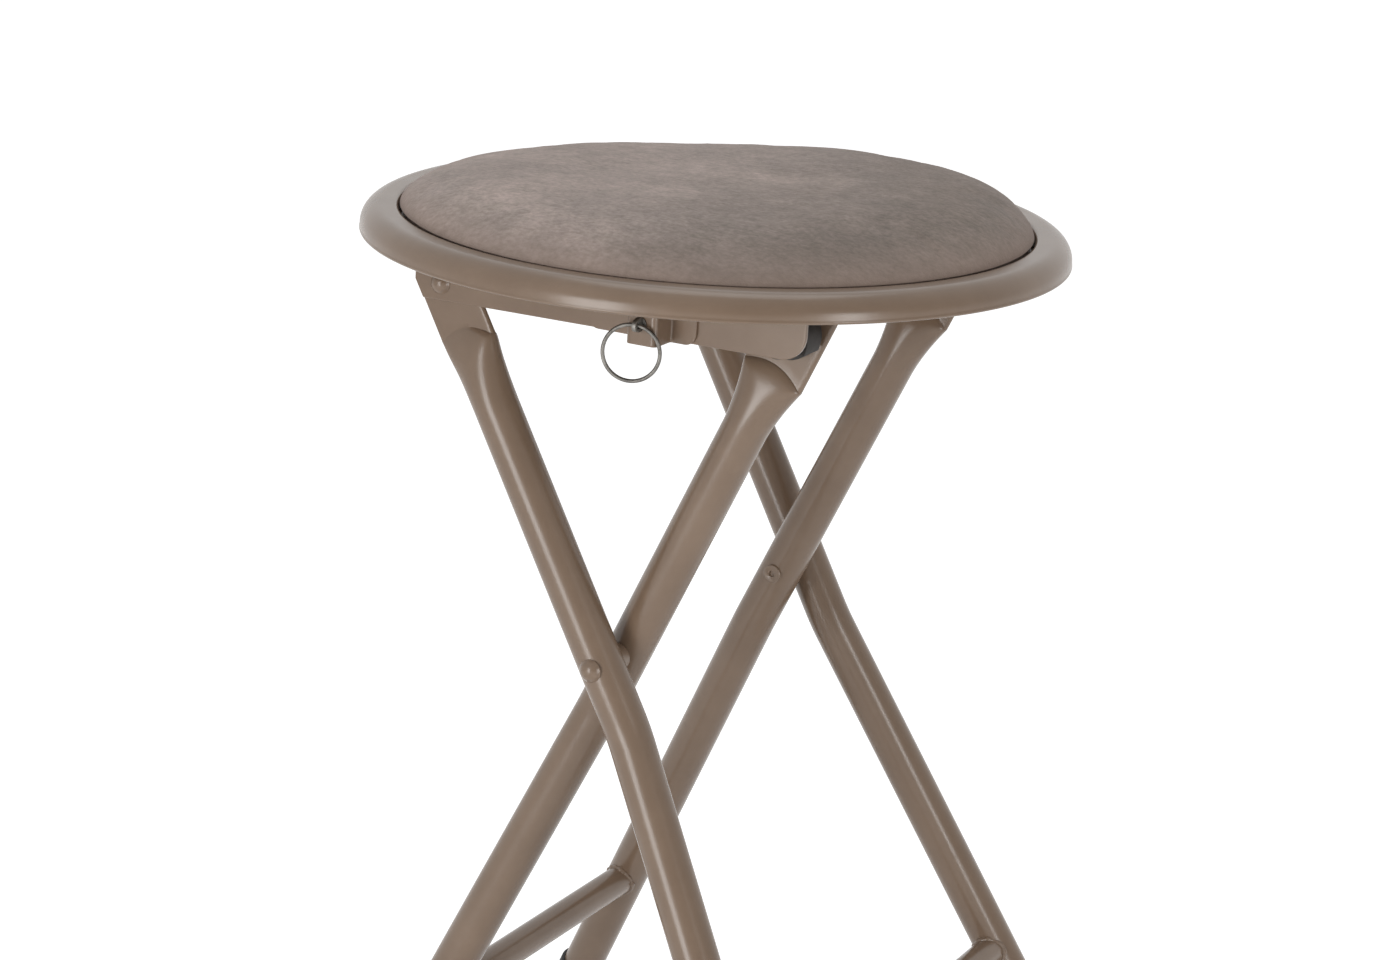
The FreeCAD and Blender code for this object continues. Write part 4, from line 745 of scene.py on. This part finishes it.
def headed(radius, start, end, head_radius, head_rise, tail_radius, tail_thick):
    """Rivet in one profile: domed head outside, shank, and a flat tail inside with a small hollow."""
    tail = start - tail_thick
    head = dome_profile(head_radius, head_rise)[:-1] + np.array([0.0, end])
    return np.concatenate([head, [
        [radius, end], [radius, start], [tail_radius, start], [tail_radius, tail + 0.3],
        [tail_radius - 0.3, tail], [0.4 * tail_radius, tail], [0.34 * tail_radius, tail + 0.15],
        [0.3 * tail_radius, start + 1.2], [0, start + 1.2]]])


rivet = headed(RIVET_RADIUS, INNER_Y - TUBE, OUTER_Y + TUBE - 0.25,
               head_radius=5.0, head_rise=3.1, tail_radius=4.2, tail_thick=0.9)
build("crossing_rivet_pair", pair(rivet, CROSSING_X, CROSSING_HEIGHT), "outer_frame", "powder_coat",
      "crossing_rivets")
spacer = [[SPACER_BORE, SPACER_START], [SPACER_RADIUS - 0.5, SPACER_START],
          [SPACER_RADIUS, SPACER_START + 0.5], [SPACER_RADIUS, SPACER_END], [SPACER_BORE, SPACER_END],
          [SPACER_BORE, SPACER_START]]
build("crossing_spacer_pair", pair(spacer, CROSSING_X, CROSSING_HEIGHT), "outer_frame", "powder_coat",
      "pivot_spacers")

# %% [markdown]
# ## Rails
# Under the pan lie two steel angles. The upright web carries the pivots, and the flange is screwed
# to the board through the pan. The web is a plate, cut on the slant at its left end and round at its
# right, and the bend and the flange are one folded sheet that grows out of it.

# %% Rails
RAIL_INNER, RAIL_OUTER, RAIL_LOW, RAIL_HIGH = 96.0, 98.0, 399.4, 421.8
RAIL_LEFT, RAIL_RIGHT, RAIL_RISE, UNDER_FLANGE = -87.0, 92.4, 1.5, 419.4
RAIL_SLANT, RAIL_TAB = 4.05, 4.6        # run of the slanted left end, and the flare at the right
FLANGE_INNER, FLANGE_LEFT, FLANGE_RIGHT = 74.0, -58.0, 80.0
web_left, web_right = FLANGE_LEFT - 0.2, FLANGE_RIGHT + 0.2
web = rounded([(RAIL_LEFT, RAIL_HIGH, 0.8), (RAIL_LEFT, 406.8, 0.8), (RAIL_LEFT + RAIL_SLANT, RAIL_LOW, 0.8),
               (RAIL_RIGHT, RAIL_LOW + RAIL_RISE, 10.5), (RAIL_RIGHT, 417.2, 1.0),
               (RAIL_RIGHT + RAIL_TAB, RAIL_HIGH, 0.6), (web_right, RAIL_HIGH, 0.3),
               (web_right, UNDER_FLANGE, 0.3), (web_left, UNDER_FLANGE, 0.3), (web_left, RAIL_HIGH, 0.3)])
flange = rounded([(FLANGE_INNER, RAIL_HIGH - 1, 0), (RAIL_OUTER - 1, RAIL_HIGH - 1, 2.0),
                  (RAIL_OUTER - 1, 417.5, 0)], closed=False, steps=10)
for side, label in SIDES.items():
    upright = plate(web, RAIL_INNER, RAIL_OUTER, standing(side))
    strip = folded(flange, RAIL_OUTER - RAIL_INNER, FLANGE_LEFT, FLANGE_RIGHT,
                   lambda u, v, x: np.stack([x, side * u, v], -1))
    build(label + "_angle", upright + strip, "seat", "powder_coat", label + "_rail")

# %% [markdown]
# ## Hooks, top pins and bushes
# When the stool stands open, a round bush at the top of each inner leg lies in a hook under the
# rail. The hook is a strip bent round the bush and welded under the flange.

# %% Hooks
HOOK_MIDDLE, HOOK_THICK, HOOK_LOW, HOOK_HIGH, HOOK_PAD_END = 12.3, 2.0, 74.5, 87.5, 44.8
bend = np.radians(np.linspace(-25, 90, 32))
curl = np.stack([TOP_PIN_X + HOOK_MIDDLE * np.cos(bend), PIVOT_HEIGHT + HOOK_MIDDLE * np.sin(bend)], 1)
pad = np.stack([np.linspace(TOP_PIN_X - 0.5, HOOK_PAD_END, 6), np.full(6, PIVOT_HEIGHT + HOOK_MIDDLE)], 1)
for side, label in SIDES.items():
    strip = folded(np.concatenate([curl, pad]), HOOK_THICK, HOOK_LOW, HOOK_HIGH, standing(side))
    # the hook's near-black finish is painted shade
    build(label + "_bent_hook", strip, "seat", "hook_steel", label + "_hook")

# %% Top pins and bushes
pins = []
for side, head in ((NEAR, 90.7), (FAR, 88.4)):      # the near pin also carries the lock link
    profile = [[0, head + 1.0], [5.4, head + 1.0], [5.9, head + 0.7], [6.0, head + 0.4], [6.0, head],
               [4.0, head], [4.0, 68.7], [5.5, 68.7], [5.5, 67.6], [5.2, 67.3], [0, 67.3]]
    pins.append(turned(profile, (TOP_PIN_X, 0, PIVOT_HEIGHT), (0, side, 0), 64))
build("top_pin_pair", pins, "inner_frame", "zinc_steel", "top_pins")
bush = [[4.2, 72.0], [10.2, 72.0], [10.8, 72.3], [11.0, 72.9], [11.0, 77.4], [10.6, 77.9], [8.8, 78.2],
        [8.8, 87.4], [8.6, 88.0], [8.0, 88.3], [4.2, 88.3], [4.2, 72.0]]
# the bushes' nearly black nylon is painted shade
build("top_bush_pair", pair(bush, TOP_PIN_X, PIVOT_HEIGHT), "inner_frame", "nylon", "top_bushes")

# %% [markdown]
# ## Seat pivots
# The seat turns on two rivets through the rails' left ends and the outer legs' flat ends.

# %% Seat pivots
rivet = headed(RIVET_RADIUS, OUTER_Y - 1.6, RAIL_OUTER,
               head_radius=4.5, head_rise=3.0, tail_radius=4.5, tail_thick=0.9)
build("seat_rivet_pair", pair(rivet, SEAT_PIVOT_X, PIVOT_HEIGHT), "seat", "powder_coat", "seat_rivets")

# %% [markdown]
# ## The latch
# A bracket of bent sheet, shaped like a hat, is riveted to the near rail. It guides a sprung pin
# with a pull ring. Pulling the ring frees a flat link and lets the frames fold.

# %% Latch bracket
LATCH_X, LATCH_HEIGHT = 27.35, 408.8
BRACKET_LOW, BRACKET_HIGH, BRACKET_FRONT = 400.0, 416.0, 112.0
BRACKET_SHEET, CORNER = 1.3, 5.0
BOX_HALF, LEFT_EAR, RIGHT_EAR, HAT_BEND = 6.75, 24.6, 11.1, 1.35
half_sheet = BRACKET_SHEET / 2
hat_left, hat_right = LATCH_X - BOX_HALF, LATCH_X + BOX_HALF
hat_start, hat_end = hat_left - LEFT_EAR, hat_right + RIGHT_EAR
ear_y, front_y = RAIL_OUTER + half_sheet, BRACKET_FRONT - half_sheet
hat = rounded([(hat_start, ear_y, 0), (hat_left + half_sheet, ear_y, HAT_BEND),
               (hat_left + half_sheet, front_y, HAT_BEND), (hat_right - half_sheet, front_y, HAT_BEND),
               (hat_right - half_sheet, ear_y, HAT_BEND), (hat_end, ear_y, 0)], closed=False, steps=6)
ends = np.linspace(0, 1, 12)[:, None]
left_corner, right_corner = np.array([hat_start + CORNER, ear_y]), np.array([hat_end - CORNER, ear_y])
hat = np.concatenate([hat[0] + (left_corner - hat[0]) * ends ** 2, hat[1:-1],
                      right_corner + (hat[-1] - right_corner) * (1 - (1 - ends) ** 2)])


def cut_corner(distance):
    """How far a rounded corner draws in the edge, at a distance from the strip's end."""
    left = np.clip(CORNER - distance, 0, CORNER)
    return CORNER - np.sqrt(CORNER ** 2 - left ** 2)


lower = BRACKET_LOW + np.maximum(cut_corner(hat[:, 0] - hat_start), cut_corner(hat_end - hat[:, 0]))
upper = BRACKET_HIGH - cut_corner(hat[:, 0] - hat_start)
hat_sheet = folded(hat, BRACKET_SHEET, lower, upper, lambda u, v, z: np.stack([u, -v, z], -1), rounding=0.3)
build("latch_hat", hat_sheet, "seat", "powder_coat", "latch_bracket")

LATCH_RIVETS_X, LATCH_RIVET_HEIGHT = (3.5, 39.5), 413.2
rivet = headed(1.5, RAIL_INNER, RAIL_OUTER + BRACKET_SHEET,
               head_radius=2.2, head_rise=1.1, tail_radius=2.2, tail_thick=0.8)
rivets = [turned(rivet, (x, 0, LATCH_RIVET_HEIGHT), (0, NEAR, 0), 64) for x in LATCH_RIVETS_X]
build("latch_rivet_pair", rivets, "seat", "zinc_steel", "latch_rivets")

# %% [markdown]
# The plunger is a turned pin with a collar for the spring. Its outer end is pressed flat, and the
# ring hangs in a hole across it.

# %% Plunger, spring and ring
pin = [[0, 88.2], [2.0, 88.2], [2.5, 88.7], [2.5, 99.6], [3.9, 99.6], [4.2, 99.9], [4.2, 100.8],
       [3.9, 101.1], [2.5, 101.1], [2.5, 112.6], [0, 112.6]]
NOSE_START, NOSE_END, NOSE_HALF, EYE_Y, EYE_RADIUS = 112.4, 118.4, 2.5, 115.2, 1.35
nose = rounded([(NOSE_START, -NOSE_HALF, 0), (NOSE_END, -NOSE_HALF, 2.4), (NOSE_END, NOSE_HALF, 2.4),
                (NOSE_START, NOSE_HALF, 0)], steps=10)[:-1]
angle = full_turn(72)
bearing = np.unwrap(np.arctan2(nose[:, 1], nose[:, 0] - EYE_Y)) % (2 * np.pi)
order = np.argsort(bearing)
wide = np.interp(angle, bearing[order], np.hypot(nose[:, 0] - EYE_Y, nose[:, 1])[order], period=2 * np.pi)
eye = np.full(73, EYE_RADIUS)
radii = np.stack([eye, eye, eye + 0.25, wide - 0.35, wide - 0.1, wide, wide, wide - 0.1, wide - 0.35,
                  eye + 0.25, eye, eye])
half = np.array([-0.6, -0.82, -0.9, -0.9, -0.8, -0.55, 0.55, 0.8, 0.9, 0.9, 0.82, -0.6])[:, None]
tongue = np.stack([LATCH_X + np.broadcast_to(half, radii.shape), -(EYE_Y + radii * np.cos(angle)),
                   LATCH_HEIGHT + radii * np.sin(angle)], -1)
build("plunger_pin", [turned(pin, (LATCH_X, 0, LATCH_HEIGHT), (0, NEAR, 0), 48), tongue],
      "plunger", "ring_steel", "plunger")


def wire(line, out, radius, spokes=12):
    """Round wire along a line; "out" points sideways from the line at each of its points."""
    ahead = unit(np.gradient(line, axis=0))
    other = np.cross(ahead, out)
    angle = full_turn(spokes)[:, None]
    return line[:, None] + radius * (np.cos(angle) * out[:, None] + np.sin(angle) * other[:, None])


RING_RADIUS, RING_WIRE = 11.4, 0.8
RING_TURN, RING_ASKEW = np.radians([20, 9])
turn = full_turn(144)[:, None]
level_way = np.array([math.cos(RING_TURN), math.sin(RING_TURN), 0])
facing = np.array([math.sin(RING_TURN), -math.cos(RING_TURN), 0])
spoke = np.cos(turn) * level_way + np.sin(turn) * up
ring_centre = (np.array([LATCH_X, -EYE_Y, LATCH_HEIGHT])
               - RING_RADIUS * (math.sin(RING_ASKEW) * level_way + math.cos(RING_ASKEW) * up))
angle = full_turn(24)[:, None]
ring_grid = (ring_centre + spoke[:, None] * (RING_RADIUS + RING_WIRE * np.cos(angle))
             + RING_WIRE * np.sin(angle) * facing)
build("finger_ring", [ring_grid], "pull_ring", "ring_steel", "pull_ring")

SPRING_TURNS, SPRING_COIL, SPRING_WIRE, SPRING_INNER, SPRING_OUTER = 5, 3.2, 0.35, 101.55, 110.25
turns = np.linspace(0, 2 * np.pi * SPRING_TURNS, 181)
spoke = upright_ring(turns)
coil = np.array([LATCH_X, 0, LATCH_HEIGHT]) + SPRING_COIL * spoke
coil[:, 1] = -np.linspace(SPRING_INNER, SPRING_OUTER, len(turns))
build("coil_spring", capped(wire(coil, spoke, SPRING_WIRE)), "seat", "zinc_steel", "plunger_spring")

# %% [markdown]
# The lock link is a flat steel bar with round ends, between the near top pin and the plunger.

# %% Lock link
LINK_HALF, LINK_LOW, LINK_HIGH = 6.0, 88.6, 90.6
pin_end, hole_end = np.array([TOP_PIN_X, PIVOT_HEIGHT]), np.array([LATCH_X, LATCH_HEIGHT])
tilt = math.atan2(*(pin_end - hole_end)[::-1])
half_turn = np.linspace(-np.pi / 2, np.pi / 2, 33)
link = np.concatenate([end + LINK_HALF * np.stack([np.cos(half_turn + facing), np.sin(half_turn + facing)], 1)
                       for end, facing in ((pin_end, tilt), (hole_end, tilt + np.pi))])
link_bar = plate(link, LINK_LOW, LINK_HIGH, standing(NEAR))
build("flat_link", link_bar, "lock_link", "zinc_steel", "lock_link")

# %% [markdown]
# ## The cushion
# A round pad of foam lies on the board, and its cover is drawn over both. It climbs steeply for a
# finger's width, turns over in a round shoulder and lies nearly flat, a little higher along one
# diagonal, where the foam is fuller. A flattened ball would be too round: the height follows one
# minus a high power of the distance from the middle instead. At the rim the cover tucks in, which
# leaves the thin dark line between pad and pan.

# %% The pad's shape
PAD_RADIUS, PAD_BOTTOM = 133.5, 424.2
CROWN_POWER, CROWN_ROOT, CROWN_RISE = 6.336, 1.545, 16.035
LEAN_X, LEAN_Y, DIAGONAL_EVEN, DIAGONAL_SKEW = 1.952, 0.814, 0.259, 3.955
WAVE_LENGTHS, WAVE_SHARE = (118.0, 83.0, 61.0, 47.0), 0.0026
PUCKER_TURN, PUCKER_DEPTH, PUCKER_WIDTH, PUCKER_MIDDLE, PUCKER_REACH = 0.29, 0.75, 1.5, 118, 11.0
TUCK = rounded([(0.0, PAD_BOTTOM, 0), (131.0, PAD_BOTTOM, 1.5), (131.4, RIM_TOP - 1.4, 0.9),
                (PAD_RADIUS, RIM_TOP, 0)], closed=False, steps=5)


def crown(x, y):
    """Height over the rim: (1 - share^6.3)^0.65 times a rise that is larger along one diagonal."""
    share, angle = np.minimum(np.hypot(x, y) / PAD_RADIUS, 1.0), np.arctan2(y, x)
    lean = LEAN_X * np.cos(angle) + LEAN_Y * np.sin(angle)
    diagonal = DIAGONAL_EVEN * np.cos(2 * angle) + DIAGONAL_SKEW * np.sin(2 * angle)
    rise = CROWN_RISE + share * lean + share ** 2 * diagonal
    return (1 - share ** CROWN_POWER) ** (1 / CROWN_ROOT) * rise


def pad_grid(rings=64, spokes=256):
    """Closed pad: out along its underside, up the tucked side, then over the crown to its middle."""
    angle = full_turn(spokes)
    step = np.linspace(0, 1, rings)[1:]
    over = PAD_RADIUS * (1 - step ** 2.1)
    radius = np.concatenate([np.linspace(0, 131, 12)[:-1], TUCK[1:, 0], over])[:, None]
    x, y = radius * np.cos(angle), radius * np.sin(angle)
    height = np.concatenate([np.full(11, PAD_BOTTOM), TUCK[1:, 1], np.full(rings - 1, RIM_TOP)])[:, None]
    top = np.arange(len(radius))[:, None] >= len(radius) - len(over)
    return np.stack([x, y, height + np.where(top, crown(x, y), 0.0)], -1), np.broadcast_to(top, x.shape)


def unevenness(x, y):
    """A few long waves, 0.1 to 0.3 mm high, and one pucker over the shoulder, where the cover is
    drawn in: a narrow valley along the radius, deepest halfway down."""
    waves = np.random.default_rng(5)
    total = np.zeros_like(x)
    for length in WAVE_LENGTHS:
        way, phase = waves.uniform(0, 2 * np.pi, 2)
        along = x * np.cos(way) + y * np.sin(way)
        total += WAVE_SHARE * length * np.sin(2 * np.pi * along / length + phase)
    bearing = np.arctan2(y, x) + PUCKER_TURN
    across = np.hypot(x, y) * np.sin(bearing)
    along = np.hypot(x, y) * np.cos(bearing)
    valley = np.exp(-(across / PUCKER_WIDTH) ** 2) - 0.45 * np.exp(-((across - 3.6) / 2.6) ** 2)
    return total - PUCKER_DEPTH * valley * np.exp(-((along - PUCKER_MIDDLE) / PUCKER_REACH) ** 2)


# %% [markdown]
# The cover is filled in a cloth simulation, as stuffing fills it. A copy of the pad, a little
# flatter, gets even faces from a voxel remesh. Its tucked edge and underside are held, since they
# are stapled to the board, and pressure from inside swells the rest for twenty steps, until it
# meets the shape that the tight cover allows. Each point of the fine pad then moves as the cloth
# points near it did, by a part of the way, because the real cover is drawn tight. So the edge stays
# crisp, which a remesh alone would lose.

# %% Filling the cover
VOXEL, PRESSURE, STEPS, FLATTER, CLOTH_SHARE = 5.0, 4.0, 20, 0.92, 0.35


def points_of(mesh):
    """All points of a mesh in millimetres, as an array."""
    flat = np.empty(len(mesh.vertices) * 3)
    mesh.vertices.foreach_get("co", flat)
    return flat.reshape(-1, 3) / MM


def swollen(pad):
    """Start and end points of the cloth after the simulation, in millimetres."""
    work = put("cloth_work", pad.data.copy())
    even = work.modifiers.new("even", "REMESH")
    even.mode, even.voxel_size = "VOXEL", VOXEL * MM
    graph = bpy.context.evaluated_depsgraph_get()
    mesh = bpy.data.meshes.new_from_object(work.evaluated_get(graph))
    work.modifiers.clear()
    work.data = mesh
    start = points_of(mesh)
    held = work.vertex_groups.new(name="held")
    held.add(np.flatnonzero(start[:, 2] < RIM_TOP + 0.5).tolist(), 1.0, "REPLACE")
    cloth = work.modifiers.new("cover", "CLOTH")
    for name, value in {"quality": 6, "mass": 0.15, "tension_stiffness": 8, "compression_stiffness": 8,
                        "bending_stiffness": 0.4, "use_pressure": True,
                        "uniform_pressure_force": PRESSURE, "vertex_group_mass": "held"}.items():
        setattr(cloth.settings, name, value)
    cloth.settings.effector_weights.gravity = 0
    cloth.point_cache.frame_start, cloth.point_cache.frame_end = 1, STEPS
    for step in range(1, STEPS + 1):
        bpy.context.scene.frame_set(step)
    graph = bpy.context.evaluated_depsgraph_get()
    end = points_of(work.evaluated_get(graph).data)
    bpy.context.scene.frame_set(1)
    bpy.data.objects.remove(work)
    return start, end


def carried(points, start, move):
    """Move of each point: the mean of the cloth points' moves, weighted by nearness."""
    result = []
    for part in np.array_split(points, 64):
        near = 1 / (((part[:, None] - start) ** 2).sum(-1) + 4.0) ** 2
        result.append(near @ move / near.sum(1, keepdims=True))
    return np.concatenate(result)


# %% Cushion
full, on_top = pad_grid()
eased = np.clip(full[..., 2] - RIM_TOP, 0, 4) / 4
full[..., 2] += np.where(on_top, unevenness(full[..., 0], full[..., 1]) * eased, 0.0)
flat = full.copy()
flat[..., 2] = np.where(on_top, RIM_TOP + (full[..., 2] - RIM_TOP) * FLATTER, full[..., 2])
trial = closed_mesh("flat_pad", [flat], "cover", 180)
before, after = swollen(trial)
bpy.data.objects.remove(trial)
move = carried(flat.reshape(-1, 3), before, after - before).reshape(flat.shape)
room = full[..., 2] - flat[..., 2]
share = np.where(room > 0.01, np.minimum(1.0, room / np.maximum(move[..., 2], 0.01)), 0.0)
moved = np.linalg.norm(after - before, axis=1)
print("cloth: %d points, largest move %.1f mm, mean %.1f mm; held back to %.1f mm" % (
    len(before), moved.max(), moved.mean(), room.max()))
filled = full - (full - flat - move * share[..., None]) * CLOTH_SHARE
filled[-1] = filled[-1].mean(0)
print("below the full shape by %.2f mm at most" % (full - filled)[..., 2].max())
full = filled
pad = build("seat_pad", [full], "seat", "cover", "cushion", crease_deg=180)

# %% [markdown]
# Under the board the cover's edge is turned in and stapled. Cloth that goes round a circle has too
# much edge, so it lies in small pleats there: a thin ring whose lower side ripples.

# %% Cover hem
HEM_IN, HEM_OUT, HEM_LOW, HEM_TOP, PLEATS = 106.5, 131.5, 423.06, 423.76, 96


def hem_grid(spokes=768):
    """Flat ring; its underside rises and falls PLEATS times round, most at the inner edge."""
    angle = full_turn(spokes)
    share = np.array([0.0, 0.0, 0.25, 0.5, 0.75, 1.0, 1.0, 0.75, 0.5, 0.25, 0.0])[:, None]
    upper = np.array([0, 1, 1, 1, 1, 1, 0, 0, 0, 0, 0])[:, None]
    ripple = 0.22 * (1 - 0.7 * share) * (1 + np.sin(PLEATS * angle + 1.3 * np.sin(7 * angle)))
    radius = HEM_IN + (HEM_OUT - HEM_IN) * share + 0.4 * (1 - share) * np.sin(31 * angle)
    height = np.where(upper == 1, HEM_TOP, HEM_LOW + ripple)
    return np.stack([radius * np.cos(angle), radius * np.sin(angle), height], -1)


build("turned_hem", [hem_grid()], "seat", "cover", "cover_hem", crease_deg=60)

# %% [markdown]
# ## What stays from the CAD model
# The board, its screws, the staples and the washers already have the right shape. They only get
# their finish.

# %% Finish for the plain nodes
for name, slot in {"pad_board": "plywood", "board_screws": "zinc_steel", "hem_staples": "zinc_steel",
                   "hinge_washers": "nylon"}.items():
    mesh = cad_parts[name].data
    mesh.materials.clear()
    mesh.materials.append(FINISHES[slot])
